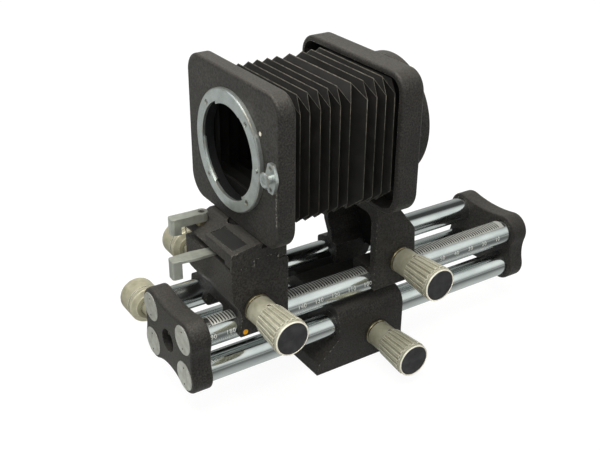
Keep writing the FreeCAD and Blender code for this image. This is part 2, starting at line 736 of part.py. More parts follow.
def pivotPost():
    top = hoodTopZ - dovetailDepth - 0.15
    post = rodZ(pivotRadius, pivotBottomZ + pivotWasherThickness, top, 0, pivotY)
    stub = rodZ(2.6, pivotBottomZ - 1.2, pivotBottomZ + pivotWasherThickness, 0, pivotY)
    return fused([post, stub])


def pivotWasher():
    ring = rodZ(pivotWasherRadius, pivotBottomZ, pivotBottomZ + pivotWasherThickness, 0, pivotY)
    return ring.cut(rodZ(2.6, 0, far, 0, pivotY))


def lever(pivotX, pivotLeverY, tipX, tipY, topZ, thickness, tabBottomZ, belly):
    """Flat arm with a round root and a finger tab bent down at its tip."""
    along = Vector(tipX - pivotX, tipY - pivotLeverY, 0)
    length = along.Length
    along.normalize()
    low = topZ - thickness
    half = leverHalfWidth
    middle = length * 0.55
    left = [(-half, 0, 0), (-half - belly, middle, 12.0)] if belly else [(-half, 0, 0)]
    tip = [(-half, length, 1.5), (half, length, 1.5)]
    right = [(-x, y, r) for x, y, r in reversed(left)]
    arm = prismZ(left + tip + right, low, topZ)
    tab = prismZ([(-half, length - leverTabDepth, 0.4), (-half, length, 1.5), (half, length, 1.5),
                  (half, length - leverTabDepth, 0.4)], tabBottomZ, topZ)
    body = fused([arm, tab, rodZ(leverRootRadius, low, topZ, 0, 0)])
    body = body.cut(rodZ(leverScrewRadius + runFit, 0, far, 0, 0))
    turn = FreeCAD.Rotation(Vector(0, 0, 1), math.degrees(math.atan2(along.y, along.x)) - 90)
    body.Placement = FreeCAD.Placement(Vector(pivotX, pivotLeverY, 0), turn)
    return body


def leverScrew(x, y, bottomZ, topZ):
    """Slotted pin, flush with the lever that turns on it."""
    screw = rodZ(leverScrewRadius, bottomZ, topZ, x, y)
    return screw.cut(box(x - 4, x + 4, y - 0.3, y + 0.3, topZ - 0.5, topZ + 1))


def shiftLeverBush():
    """Turned spacer that carries the upper lever clear of the hood's slope."""
    ring = rodZ(shiftBushRadius, shiftBushBottomZ, shiftLeverTopZ - shiftLeverThickness - leverSlotGap,
                shiftLeverX, shiftLeverY)
    return ring.cut(rodZ(leverScrewRadius + seatFit, 0, far, shiftLeverX, shiftLeverY))


def standardOutline(topZ, rim):
    w = standardHalfWidth - rim
    low = standardBottomZ + rim
    return [(-w, low, standardBottomRadius - rim), (w, low, standardBottomRadius - rim),
            (w, topZ - rim, standardTopRadius - rim), (-w, topZ - rim, standardTopRadius - rim)]


def frameOutline(halfWidth, halfHeight, z):
    radius = frameCornerRadius
    return [(-halfWidth, z - halfHeight, radius), (halfWidth, z - halfHeight, radius),
            (halfWidth, z + halfHeight, radius), (-halfWidth, z + halfHeight, radius)]


def frontStandard():
    y0 = frontStandardY
    y1 = frontStandardRear
    body = prismY(standardOutline(standardTopZ, 0), y0, y1)
    body = filletWhere(body, standardEdgeRadius, lambda e: e.BoundBox.YMax - e.BoundBox.YMin < 1e-4)
    foot = [(y1 - 2, standardBottomZ, 0), (hoodRearY - 0.2, standardBottomZ, 0),
            (hoodRearY - 0.2, standardBottomZ + 3.0, 1.0), (y1 - 2, standardBottomZ + 6.0, 0)]
    left = dovetailCentreX - dovetailHalfLength
    right = dovetailCentreX + dovetailHalfLength
    tail = [(dovetailY - dovetailTopWidth / 2, standardBottomZ + 0.5, 0),
            (dovetailY - dovetailTopWidth / 2, hoodTopZ, 0),
            (dovetailY - dovetailBottomWidth / 2 + 0.1, hoodTopZ - dovetailDepth + 0.1, 0),
            (dovetailY + dovetailBottomWidth / 2 - 0.1, hoodTopZ - dovetailDepth + 0.1, 0),
            (dovetailY + dovetailTopWidth / 2, hoodTopZ, 0),
            (dovetailY + dovetailTopWidth / 2, standardBottomZ + 0.5, 0)]
    body = fused([body, prismX(foot, insetX + 1, flankX - 1), prismX(tail, left, right)])
    frameSeat = frameOutline(frameHalfWidth + 0.1, frameHalfHeight + 0.1, bellowsZ)
    recess = prismY(frameSeat, y0 + frontWall, y1 + 1)
    cuts = [recess, rodY(ringSpigotRadius + seatFit, y0 - 1, y1 + 1, 0, axisZ)]
    cuts.append(rodY(plungerStemRadius + runFit, y0 - 1, y1, releaseX, releaseZ))
    armRoom = armThickness + plungerTravel + 1.0
    cuts.append(box(lockPinPitch - 3.4, releaseX + armHalfHeight + 0.6,
                    y0 + frontWall, y0 + frontWall + armRoom,
                    releaseZ - armHalfHeight - 0.4, releaseZ + armHalfHeight + 0.4))
    cuts.append(rodY(lockPinRadius + runFit, y0 - 1, y1, lockPinPitch, releaseZ))
    cuts.append(rodY(mountDotRadius + seatFit, y0 - 1, y0 + dotDepth, *dotPlace))
    for x, z in ringScrewPlaces:
        cuts.append(rodY(0.8, y0 - 1, y0 + 2.0, x, z))
    for side in (-1, 1):
        cuts.append(rodY(0.7 + seatFit, y0 - 1, y0 + 3.0, releaseX, releaseZ + side * releaseScrewPitch))
    return body.cut(cuts)


def roundTheAxis(pitch, angles):
    """(x, z) of each angle, in degrees, on a circle about the optical axis."""
    return [(pitch * math.cos(math.radians(a)), axisZ + pitch * math.sin(math.radians(a))) for a in angles]


def lensRing():
    """Female bayonet: a flange, a spigot in the standard and three tabs just inside the throat."""
    face = frontStandardY - ringThickness
    axis = Vector(0, 1, 0)
    flange = turned([(0, ringOuterRadius - 0.5), (0.5, ringOuterRadius), (ringThickness, ringOuterRadius)],
                    Vector(0, face, axisZ), axis)
    spigot = rodY(ringSpigotRadius, frontStandardY, frontStandardY + ringSpigotLength, 0, axisZ)
    bore = rodY(ringWallRadius, face - 1, frontStandardY + ringSpigotLength + 1, 0, axisZ)
    ring = fused([flange, spigot]).cut(bore)
    tabs = []
    for angle in tabAngles:
        disc = rodY(ringWallRadius + 0.4, face + 0.6, face + 0.6 + tabThickness, 0, axisZ)
        disc = disc.cut(rodY(ringThroatRadius, face - 1, face + 9, 0, axisZ))
        tabs.append(disc.common(sector(angle, tabHalfAngle, face, ringOuterRadius)))
    ring = fused([ring] + tabs)
    cuts = [rodY(lockPinRadius + runFit, face - 1, frontStandardY + 1, lockPinPitch, releaseZ)]
    for x, z in ringScrewPlaces:
        cuts.append(rodY(ringScrewRadius + seatFit, face - 1, face + 1.1, x, z))
        cuts.append(rodY(0.8, face, frontStandardY + 1, x, z))
    return ring.cut(cuts)


def sector(angle, halfAngle, y, radius):
    """Wedge about the optical axis, from y backwards."""
    reach = radius * 1.5
    a0 = math.radians(angle - halfAngle)
    a1 = math.radians(angle + halfAngle)
    am = math.radians(angle)
    points = [Vector(0, y, axisZ)]
    points += [Vector(reach * math.cos(a), y, axisZ + reach * math.sin(a)) for a in (a0, am, a1)]
    return Part.Face(Part.makePolygon(points + points[:1])).extrude(Vector(0, 12, 0))


def ringScrews():
    face = frontStandardY - ringThickness
    screws = []
    for x, z in ringScrewPlaces:
        head = rodY(ringScrewRadius, face + 0.15, face + 1.1, x, z)
        shank = rodY(0.8, face + 1.1, frontStandardY + 1.8, x, z)
        slot = box(x - 2, x + 2, face - 1, face + 0.5, z - 0.2, z + 0.2)
        screws.append(fused([head, shank]).cut(slot))
    return group(screws)


def releasePlate():
    w = releasePlateHalfWidth
    h = releasePlateHalfHeight
    outline = [(releaseX - w * 0.45, releaseZ - h, 1.2), (releaseX + w * 0.45, releaseZ - h, 1.2),
               (releaseX + w, releaseZ, 3.0), (releaseX + w * 0.45, releaseZ + h, 1.2),
               (releaseX - w * 0.45, releaseZ + h, 1.2), (releaseX - w, releaseZ, 3.0)]
    y0 = frontStandardY - releasePlateThickness
    plate = prismY(outline, y0, frontStandardY)
    cuts = [rodY(plungerStemRadius + runFit, y0 - 1, frontStandardY + 1, releaseX, releaseZ)]
    for z in (releaseZ - releaseScrewPitch, releaseZ + releaseScrewPitch):
        cuts.append(rodY(1.2 + seatFit, y0 - 1, y0 + 0.8, releaseX, z))
        cuts.append(rodY(0.7 + seatFit, y0, frontStandardY + 1, releaseX, z))
    return plate.cut(cuts)


def releaseScrews():
    y0 = frontStandardY - releasePlateThickness
    screws = []
    for z in (releaseZ - releaseScrewPitch, releaseZ + releaseScrewPitch):
        head = rodY(1.2, y0 + 0.1, y0 + 0.8, releaseX, z)
        shank = rodY(0.7, y0 + 0.8, frontStandardY + 2.4, releaseX, z)
        slot = box(releaseX - 2, releaseX + 2, y0 - 1, y0 + 0.4, z - 0.15, z + 0.15)
        screws.append(fused([head, shank]).cut(slot))
    return group(screws)


def releasePlunger():
    """Push button, stem, inner arm and the pin that locks the lens."""
    tip = frontStandardY - plungerReach
    inside = frontStandardY + frontWall
    head = turned([(0, plungerHeadRadius - 0.6), (0.5, plungerHeadRadius),
                   (plungerHeadThickness, plungerHeadRadius - 0.8),
                   (plungerHeadThickness + 0.3, plungerStemRadius)],
                  Vector(releaseX, tip, releaseZ), Vector(0, 1, 0))
    dimple = Part.makeSphere(3.0, Vector(releaseX, tip - 2.4, releaseZ))
    stem = rodY(plungerStemRadius, tip + 1, inside + 0.1 + armThickness, releaseX, releaseZ)
    arm = box(lockPinPitch - 2.0, releaseX + armHalfHeight, inside + 0.1, inside + 0.1 + armThickness,
              releaseZ - armHalfHeight, releaseZ + armHalfHeight)
    pinTip = frontStandardY - ringThickness - lockPinProud
    pin = rodY(lockPinRadius, pinTip, inside + 0.5, lockPinPitch, releaseZ)
    return fused([head, stem, arm, pin]).cut(dimple)


def bellowsFrame(y0):
    outer = prismY(frameOutline(frameHalfWidth, frameHalfHeight, bellowsZ), y0, y0 + frameThickness)
    hole = frameOutline(frameHoleHalfWidth, frameHoleHalfHeight, bellowsZ - frameHoleDrop)
    return outer.cut(prismY(hole, y0 - 1, y0 + 5))


def pleatRing(y, sideIn, topIn, wall):
    """Eight corners of the cloth at one fold, counter-clockwise from the lower right."""
    halfWidth = bellowsHalfWidth - sideIn - wall
    halfHeight = bellowsHalfHeight - topIn - wall
    side = bellowsHalfHeight - bellowsChamfer - 0.4 * wall
    top = bellowsHalfWidth - bellowsChamfer - 0.4 * wall
    slumpX, slumpZ = bellowsSlump
    points = [(halfWidth, -side), (halfWidth, side), (top, halfHeight), (slumpX - top, halfHeight),
              (-halfWidth, side - slumpZ), (-halfWidth, -side), (-top, -halfHeight), (top, -halfHeight)]
    return [Vector(x, y, bellowsZ + z) for x, z in points]


def pleatStations():
    """(y, how far the sides are in, how far top and bottom are in) for every fold, front to back."""
    y0 = bellowsStartY
    y1 = bellowsEndY
    ridges = [firstRidgeY + i * pleatPitch for i in range(frontPleats)]
    ridges += [ridges[-1] + restGap + i * pleatPitch for i in range(rearPleats)]
    stations = [(y0, pleatDepth, pleatEndInset), ((y0 + ridges[0]) / 2, pleatDepth, 0.0)]
    for i, y in enumerate(ridges):
        onward = ridges[i + 1] if i + 1 < len(ridges) else y + pleatPitch
        stations.append((y, 0.0, pleatDepth))
        stations.append(((y + onward) / 2, pleatDepth, 0.0 if i + 1 < len(ridges) else pleatTuck))
    stations.append((y1, pleatDepth, pleatEndInset))
    return stations


def pleatSkin(wall, stations):
    """Flat facets of one skin. The cut-off corners fold along a diagonal, the other way at each fold."""
    faces = []
    for (y0, side0, top0), (y1, side1, top1) in zip(stations, stations[1:]):
        a = pleatRing(y0, side0, top0, wall)
        b = pleatRing(y1, side1, top1, wall)
        sideFirst = side0 < side1
        for i in range(8):
            j = (i + 1) % 8
            if i % 2 == 0:
                faces.append([a[i], a[j], b[j], b[i]])
            elif (i in (1, 5)) == sideFirst:
                faces.append([a[i], a[j], b[j]])
                faces.append([a[i], b[j], b[i]])
            else:
                faces.append([a[i], a[j], b[i]])
                faces.append([a[j], b[j], b[i]])
    return faces


def bellows():
    """Pleated cloth, open through the middle: the sides' ridges are the top's valleys."""
    stations = pleatStations()
    faces = pleatSkin(0, stations) + pleatSkin(clothThickness, stations)
    for y, side, top in (stations[0], stations[-1]):
        outer = pleatRing(y, side, top, 0)
        inner = pleatRing(y, side, top, clothThickness)
        for i in range(8):
            j = (i + 1) % 8
            faces.append([outer[i], outer[j], inner[j], inner[i]])
    shell = Part.Shell([Part.Face(Part.makePolygon(points + points[:1])) for points in faces])
    shell.sewShape()
    solid = Part.Solid(shell)
    solid.fix(1e-4, 1e-4, 1e-4)
    if solid.Volume < 0:
        solid.reverse()
    return solid


def rearCarriage():
    side = [(rearFlankY, flankBottomZ + 0.2, 1.5), (rearHeelY - 5, flankBottomZ + 0.2, 3.0),
            (rearHeelY, flareLowZ + 3, 5.0), (rearHeelY - 1.2, 70.0, 6.0),
            (rearStandardRear + 3.0, standardBottomZ - 4, 3.0), (rearStandardRear - 0.4, standardBottomZ, 0),
            (rearFlankY, standardBottomZ, 0)]
    section = carriageSection(standardBottomZ, flankBottomZ + 0.2)
    body = prismX(side, bearingX, flankX).common(prismY(section, 0, rearHeelY + 1))
    cuts = [rodY(railRadius + runFit, -far / 2, far / 2, x, upperRailZ)
            for x in (-railHalfSpacing, railHalfSpacing)]
    cuts.append(archedUnderside(-far / 2, far / 2))
    floorZ = upperRailZ + railRadius + 1.2
    arch = prismY([(archWallX[0], floorZ, 2.0), (-archGap, floorZ, 0), (-archGap, 0, 0), (archGap, 0, 0),
                   (archGap, floorZ, 0), (archWallX[1], floorZ, 2.0), (archWallX[1], archTopZ, 5.0),
                   (archWallX[0] - archWaist, archTopZ, 5.0), (archWallX[0] - archWaist, flareTopZ, 5.0),
                   (archWallX[0], rearWaistZ, 3.0)], -far / 2, archBackY)
    house = rodX(pinionHouseRadius, archGap + 3.0, flankX - 1, rearPinionY, upperPinionZ)
    body = fused([body.cut(arch), house.common(box(-far, far, -far, archBackY + 1, floorZ - 0.5, far))])
    cuts += pinionCut(rearShaftEndX - 0.5, flankX, rearPinionY, upperPinionZ, pinionTeeth)
    return body.cut(cuts)


def rearStandard():
    y0 = rearStandardY
    y1 = rearStandardRear
    body = prismY(standardOutline(rearTopZ, 0), y0, y1)
    body = filletWhere(body, standardEdgeRadius, lambda e: e.BoundBox.YMax - e.BoundBox.YMin < 1e-4)
    recess = prismY(standardOutline(rearTopZ, rearRim), y0 - 1, y1 - rearWall)
    return body.cut([recess, rodY(drumBore, y0, y1 + 1, 0, axisZ)])


def mountDrum():
    """Fixed drum on the rear standard: the camera ring turns in it."""
    y0 = rearStandardRear
    drum = turned([(0, drumRadius), (drumLength - 1.0, drumRadius), (drumLength, drumRadius - 1.0)],
                  Vector(0, y0, axisZ), Vector(0, 1, 0))
    lip = drumRear - 2.2
    return drum.cut([rodY(turnRetainerRadius + 0.3, y0 - 1, lip, 0, axisZ),
                     rodY(turnHubRadius + runFit, y0, drumRear + 1, 0, axisZ)])


def turnRing():
    y0 = drumRear + turnRingGap
    ring = turned([(0, turnRingRadius - 0.6), (0.6, turnRingRadius), (turnRingLength - 0.8, turnRingRadius),
                   (turnRingLength, turnRingRadius - 0.8)], Vector(0, y0, axisZ), Vector(0, 1, 0))
    hub = rodY(turnHubRadius, rearStandardRear + retainerGap + turnRetainerThickness, y0 + 1, 0, axisZ)
    body = fused([ring, hub])
    return body.cut([rodY(turnBore, 0, far, 0, axisZ),
                     rodY(cameraFlangeRadius + seatFit, cameraSeatY, far, 0, axisZ)])


def turnRetainer():
    y0 = rearStandardRear + retainerGap
    ring = rodY(turnRetainerRadius, y0, y0 + turnRetainerThickness, 0, axisZ)
    return ring.cut(rodY(turnBore, y0 - 1, y0 + 5, 0, axisZ))


def cameraBayonet():
    """Male bayonet for a camera body: flange, tube and three lugs."""
    y0 = cameraSeatY
    flange = rodY(cameraFlangeRadius, y0, y0 + 2.0, 0, axisZ)
    tube = rodY(cameraTubeRadius, y0, y0 + 2.0 + cameraTubeLength, 0, axisZ)
    lugs = []
    for angle in tabAngles:
        disc = rodY(cameraLugRadius, y0 + cameraTubeLength + 0.4, y0 + cameraTubeLength + 2.0, 0, axisZ)
        lugs.append(disc.common(sector(angle, tabHalfAngle, y0, cameraLugRadius)))
    body = fused([flange, tube] + lugs)
    cuts = [rodY(cameraBore, 0, far, 0, axisZ)]
    for x, z in cameraScrewPlaces:
        cuts.append(rodY(1.3 + seatFit, y0 + 1.0, y0 + 3, x, z))
        cuts.append(rodY(0.8 + seatFit, y0 - 1, y0 + 3, x, z))
    return body.cut(cuts)


def cameraScrews():
    y0 = cameraSeatY
    screws = []
    for x, z in cameraScrewPlaces:
        head = rodY(1.3, y0 + 1.0, y0 + 1.85, x, z)
        shank = rodY(0.8, y0 + 0.05, y0 + 1.0, x, z)
        slot = box(x - 2, x + 2, y0 + 1.5, y0 + 3, z - 0.2, z + 0.2)
        screws.append(fused([head, shank]).cut(slot))
    return group(screws)


def clampedFrontPlate():
    plate = endPlate(plateFrontY, -1)
    spotFace = rodX(gripShaftRadius + 0.8, -far, clampSeatX, clampY, clampZ)
    return plate.cut([rodX(clampScrewRadius + runFit, -far, 0, clampY, clampZ), spotFace])


def buildNodes():
    nodes = {}
    nodes["base_carriage"] = baseCarriage()
    nodes["tripod_bush"] = tripodBush()
    nodes["front_end_plate"] = clampedFrontPlate()
    nodes["rear_end_plate"] = endPlate(rearInnerY, 1)
    nodes["front_rail_caps"] = railCaps(plateFrontY, -1)
    nodes["rear_rail_caps"] = railCaps(plateRearY, 1)
    nodes["rail_upper_left"] = rail(-railHalfSpacing, upperRailZ)
    nodes["rail_lower_left"] = rail(-railHalfSpacing, lowerRailZ)
    nodes["rail_upper_right"] = railWithRack(upperRailZ, 1, 0)
    nodes["rail_lower_right"] = railWithRack(lowerRailZ, -1, baseRackFlat)
    nodes["rod_clamp_knob"] = gripKnob(clampInnerX, clampSeatX, clampY, clampZ, clampScrewRadius,
                                       -plateBoreRadius - 0.3)
    drives = (("base", baseShaftEndX, baseHalfWidth, basePinionY, lowerPinionZ, basePinionTeeth, -1),
              ("front", frontShaftEndX, flankX, frontPinionY, upperPinionZ, pinionTeeth, 1),
              ("rear", rearShaftEndX, flankX, rearPinionY, upperPinionZ, pinionTeeth, 1))
    for name, leftX, wallX, y, z, teeth, side in drives:
        shaftEnd = wallX + bushFlangeThickness + knobGap + knobLength - 4.3
        nodes[name + "_pinion_shaft"] = pinionShaft(leftX, shaftEnd, y, z, teeth, side)
        nodes[name + "_pinion_bush"] = pinionBush(wallX, y, z)
        nodes[name + "_knob"] = flutedKnob(wallX, y, z)
        nodes[name + "_knob_cap"] = knobCap(wallX, y, z)
        nodes[name + "_set_screw"] = setScrew(wallX, y, z)
    nodes["front_carriage"] = frontCarriage()
    nodes["index_dot"] = rodX(dotRadius, flankX - dotDepth, flankX + 0.05, dotY, dotZ)
    nodes["front_lock_knob"] = gripKnob(lockInnerX, lockSeatX, frontPinionY, upperPinionZ, lockScrewRadius,
                                        frontShaftEndX - lockTipGap)
    nodes["swing_table"] = swingTable()
    nodes["name_plate"] = namePocket(namePlateGap, platePocketDepth - namePlateSunk)
    nodes["pivot_post"] = pivotPost()
    nodes["pivot_washer"] = pivotWasher()
    swingTopZ = slotTopZ - leverSlotGap
    nodes["swing_lever"] = lever(swingLeverX, swingLeverY, swingLeverTipX, swingLeverTipY, swingTopZ,
                                 swingLeverThickness, swingTabBottomZ, swingLeverBelly)
    nodes["swing_lever_screw"] = leverScrew(swingLeverX, swingLeverY, frontDeckZ - leverScrewDepth, swingTopZ)
    nodes["shift_lever"] = lever(shiftLeverX, shiftLeverY, shiftLeverTipX, shiftLeverTipY, shiftLeverTopZ,
                                 shiftLeverThickness, shiftTabBottomZ, 0.0)
    nodes["shift_lever_bush"] = shiftLeverBush()
    nodes["shift_lever_screw"] = leverScrew(shiftLeverX, shiftLeverY, shiftScrewBottomZ, shiftLeverTopZ)
    nodes["front_standard"] = frontStandard()
    nodes["lens_mount_ring"] = lensRing()
    nodes["ring_screws"] = ringScrews()
    nodes["release_plate"] = releasePlate()
    nodes["release_screws"] = releaseScrews()
    nodes["release_plunger"] = releasePlunger()
    nodes["mount_index_dot"] = rodY(mountDotRadius, frontStandardY - 0.05, frontStandardY + dotDepth,
                                    *dotPlace)
    nodes["bellows_front_frame"] = bellowsFrame(frontFrameY)
    nodes["bellows"] = bellows()
    nodes["bellows_rear_frame"] = bellowsFrame(rearFrameY)
    nodes["rear_carriage"] = rearCarriage()
    nodes["rear_standard"] = rearStandard()
    nodes["mount_drum"] = mountDrum()
    nodes["camera_turn_ring"] = turnRing()
    nodes["camera_ring_retainer"] = turnRetainer()
    nodes["camera_bayonet"] = cameraBayonet()
    nodes["camera_bayonet_screws"] = cameraScrews()
    return nodes


dotPlace = roundTheAxis(mountDotPitch, [mountDotAngle])[0]
ringScrewPlaces = roundTheAxis(ringScrewPitch, ringScrewAngles)
cameraScrewPlaces = roundTheAxis(cameraScrewPitch, cameraScrewAngles)

os.makedirs("parts", exist_ok=True)
for nodeName, nodeShape in buildNodes().items():
    nodeShape.exportStep("parts/" + nodeName + ".step")
    print(nodeName, len(nodeShape.Solids), round(nodeShape.Volume, 1), nodeShape.isValid())
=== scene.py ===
import bpy
import bmesh
import json
import math
import random
from mathutils import Matrix, Vector


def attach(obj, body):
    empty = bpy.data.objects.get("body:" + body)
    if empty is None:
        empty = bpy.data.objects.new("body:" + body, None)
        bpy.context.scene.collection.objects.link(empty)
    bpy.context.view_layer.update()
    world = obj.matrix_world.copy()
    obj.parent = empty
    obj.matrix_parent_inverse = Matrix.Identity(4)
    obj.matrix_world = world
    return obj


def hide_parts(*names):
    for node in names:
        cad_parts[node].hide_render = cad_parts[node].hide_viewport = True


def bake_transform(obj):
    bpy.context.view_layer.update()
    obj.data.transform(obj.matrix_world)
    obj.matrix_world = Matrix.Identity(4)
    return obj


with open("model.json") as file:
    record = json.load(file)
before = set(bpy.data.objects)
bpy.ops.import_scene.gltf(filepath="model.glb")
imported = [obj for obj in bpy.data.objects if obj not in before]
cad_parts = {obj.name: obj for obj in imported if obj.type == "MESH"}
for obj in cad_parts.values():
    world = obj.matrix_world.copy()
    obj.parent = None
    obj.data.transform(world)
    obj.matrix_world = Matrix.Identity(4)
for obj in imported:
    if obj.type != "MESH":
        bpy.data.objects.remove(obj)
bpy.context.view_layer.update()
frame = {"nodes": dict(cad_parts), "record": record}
nodes = frame["nodes"]
slotOf = {row["node"]: row["material_slot"] for row in frame["record"]["subparts"]}
mm = 0.001
fullTurn = 2 * math.pi
print("frame loaded:", len(nodes), "nodes")


def deselectAll():
    if bpy.context.object and bpy.context.object.mode != "OBJECT":
        bpy.ops.object.mode_set(mode="OBJECT")
    bpy.ops.object.select_all(action="DESELECT")


def hexColor(code):
    # sRGB hex to the linear colour that the sockets take
    channels = [int(code[i:i + 2], 16) / 255 for i in (1, 3, 5)]
    return tuple(c / 12.92 if c <= 0.04045 else ((c + 0.055) / 1.055) ** 2.4 for c in channels) + (1.0,)


def addNode(owner, kind, output=None, inputs=(), **settings):
    # inputs go in by name, or as a tuple in the order that the node shows them; a text there is a hex colour
    node = owner.node_tree.nodes.new("ShaderNode" + kind)
    for name, value in settings.items():
        setattr(node, name, value)
    if isinstance(inputs, dict):
        pairs = [(node.inputs[name], value) for name, value in inputs.items()]
    else:
        pairs = list(zip([socket for socket in node.inputs if socket.enabled], inputs))
    for socket, value in pairs:
        if isinstance(value, bpy.types.NodeSocket):
            owner.node_tree.links.new(value, socket)
        else:
            socket.default_value = hexColor(value) if isinstance(value, str) else value
    results = {socket.name: socket for socket in node.outputs if socket.enabled}
    return results[output] if output else results


def newFinish(name):
    finish = bpy.data.materials.new(name)
    finish.use_nodes = True
    finish.node_tree.nodes.clear()
    return finish


def closeFinish(finish, inputs):
    surface = addNode(finish, "BsdfPrincipled", "BSDF", inputs)
    addNode(finish, "OutputMaterial", inputs={"Surface": surface})
    return finish


def placeOf(finish, stretch=(1, 1, 1)):
    # where a point lies on the object, in metres; a small factor draws a pattern out along that axis
    place = addNode(finish, "TexCoord", "Object")
    return addNode(finish, "Mapping", "Vector", {"Vector": place, "Scale": stretch})


def grain(finish, size, detail=3.0, roughness=0.55, stretch=(1, 1, 1)):
    # random cloudy pattern on the object; size is one blotch or grain in millimetres
    return addNode(finish, "TexNoise", "Fac", (placeOf(finish, stretch), 1 / (size * mm), detail, roughness))


def shadeBetween(finish, pattern, low, high, first, second, most=1.0):
    # the first colour turns to the second as the pattern goes from low to high
    share = addNode(finish, "MapRange", "Result", (pattern, low, high, 0.0, most))
    return addNode(finish, "Mix", "Result", (share, first, second), data_type="RGBA")


def outerEdges(finish, radius):
    # 0 on open faces and near 1 on sharp outer edges, from how far the softened normal leans
    soft = addNode(finish, "Bevel", "Normal", {"Radius": radius * mm}, samples=4)
    lean = addNode(finish, "VectorMath", "Value", (soft, addNode(finish, "NewGeometry", "Normal")),
                   operation="DOT_PRODUCT")
    return addNode(finish, "MapRange", "Result", (lean, 0.995, 0.86, 0.0, 1.0))


def relief(finish, height, depth, edgeRadius=0.0):
    # bumps so many millimetres high, over edges that look rounded by so many
    inputs = {"Height": height, "Strength": 1.0, "Distance": depth * mm}
    if edgeRadius:
        inputs["Normal"] = addNode(finish, "Bevel", "Normal", {"Radius": edgeRadius * mm}, samples=4)
    return addNode(finish, "Bump", "Normal", inputs)


paint = {"colour": "#131211", "lit": "#3d3b38", "cloud": "#1c1b1b", "dust": "#75736b", "topLightAndDust": 0.1,
         "bare": "#a9a69c", "pebble": 0.85, "relief": 0.07, "rubbed": 0.9, "chip": 1.1}
frontScuffs = {"x": 39.2, "halfWidth": 0.6, "z": 113.5, "halfHeight": 13.5, "fleck": 0.7}


def crackleEnamel(name="crackleEnamel", scuffs=None):
    # black crackle enamel stoved on cast aluminium: matte, pebbled, paler on top faces as painted light from
    # above with some dust, bare metal at rubbed edges
    finish = newFinish(name)
    pebble = grain(finish, paint["pebble"], 4.0, 0.6)  # coarser than real crackle, so that it shows
    colour = shadeBetween(finish, pebble, 0.35, 0.7, paint["colour"], paint["lit"])
    colour = shadeBetween(finish, grain(finish, 14.0, 2.0, 0.5), 0.4, 0.65, colour, paint["cloud"], 0.45)
    # faces turned upwards take the pale colour: painted light from above, with some dust
    facing = addNode(finish, "SeparateXYZ", "Z", {"Vector": addNode(finish, "NewGeometry", "Normal")})
    colour = shadeBetween(finish, facing, 0.55, 0.98, colour, paint["dust"], paint["topLightAndDust"])
    flakes = grain(finish, paint["chip"], 5.0, 0.7)
    chips = addNode(finish, "MapRange", "Result", (flakes, 0.56, 0.62, 0.0, 1.0))
    edges = outerEdges(finish, paint["rubbed"])
    worn = addNode(finish, "Math", "Value", (edges, chips), operation="MULTIPLY")
    if scuffs:
        # pale scuffs in a narrow upright strip
        axes = addNode(finish, "SeparateXYZ", inputs={"Vector": placeOf(finish)})
        inX = addNode(finish, "Math", "Value", (axes["X"], scuffs["x"] * mm, scuffs["halfWidth"] * mm),
                      operation="COMPARE")
        inZ = addNode(finish, "Math", "Value", (axes["Z"], scuffs["z"] * mm, scuffs["halfHeight"] * mm),
                      operation="COMPARE")
        inStrip = addNode(finish, "Math", "Value", (inX, inZ), operation="MULTIPLY")
        scrapes = grain(finish, scuffs["fleck"], 4.0, 0.7, (1, 1, 0.45))
        flecks = addNode(finish, "MapRange", "Result", (scrapes, 0.5, 0.56, 0.0, 0.8))
        scraped = addNode(finish, "Math", "Value", (inStrip, flecks), operation="MULTIPLY")
        worn = addNode(finish, "Math", "Value", (worn, scraped), operation="MAXIMUM")
    return closeFinish(finish, {
        "Base Color": addNode(finish, "Mix", "Result", (worn, colour, paint["bare"]), data_type="RGBA"),
        "Roughness": addNode(finish, "MapRange", "Result", (pebble, 0.3, 0.75, 0.62, 0.46)),
        "Metallic": addNode(finish, "Math", "Value", (worn, 0.8), operation="MULTIPLY"),
        "Specular IOR Level": 0.3, "Sheen Weight": 0.1, "Sheen Roughness": 0.45, "Sheen Tint": "#dedcd4",
        "Normal": relief(finish, pebble, paint["relief"], 0.35)})


def satinEnamel():
    # black semi-gloss enamel on a flat plate: smoother than the castings, a few hairlines
    finish = newFinish("satinEnamel")
    hairlines = grain(finish, 0.5, stretch=(0.15, 1, 1))
    colour = shadeBetween(finish, hairlines, 0.45, 0.75, "#1f1f1e", "#343331", 0.5)
    chips = addNode(finish, "MapRange", "Result", (grain(finish, 0.9), 0.5, 0.6, 0.0, 0.7))
    worn = addNode(finish, "Math", "Value", (outerEdges(finish, 0.3), chips), operation="MULTIPLY")
    return closeFinish(finish, {
        "Base Color": addNode(finish, "Mix", "Result", (worn, colour, "#8f8c84"), data_type="RGBA"),
        "Roughness": addNode(finish, "MapRange", "Result", (hairlines, 0.3, 0.7, 0.3, 0.42)),
        "Normal": relief(finish, hairlines, 0.01, 0.2)})


rack = {"fromZ": 48.5, "fade": 0.2, "middleY": 2.6, "halfLength": 92.6, "dull": 0.42, "lessMetal": 0.65}


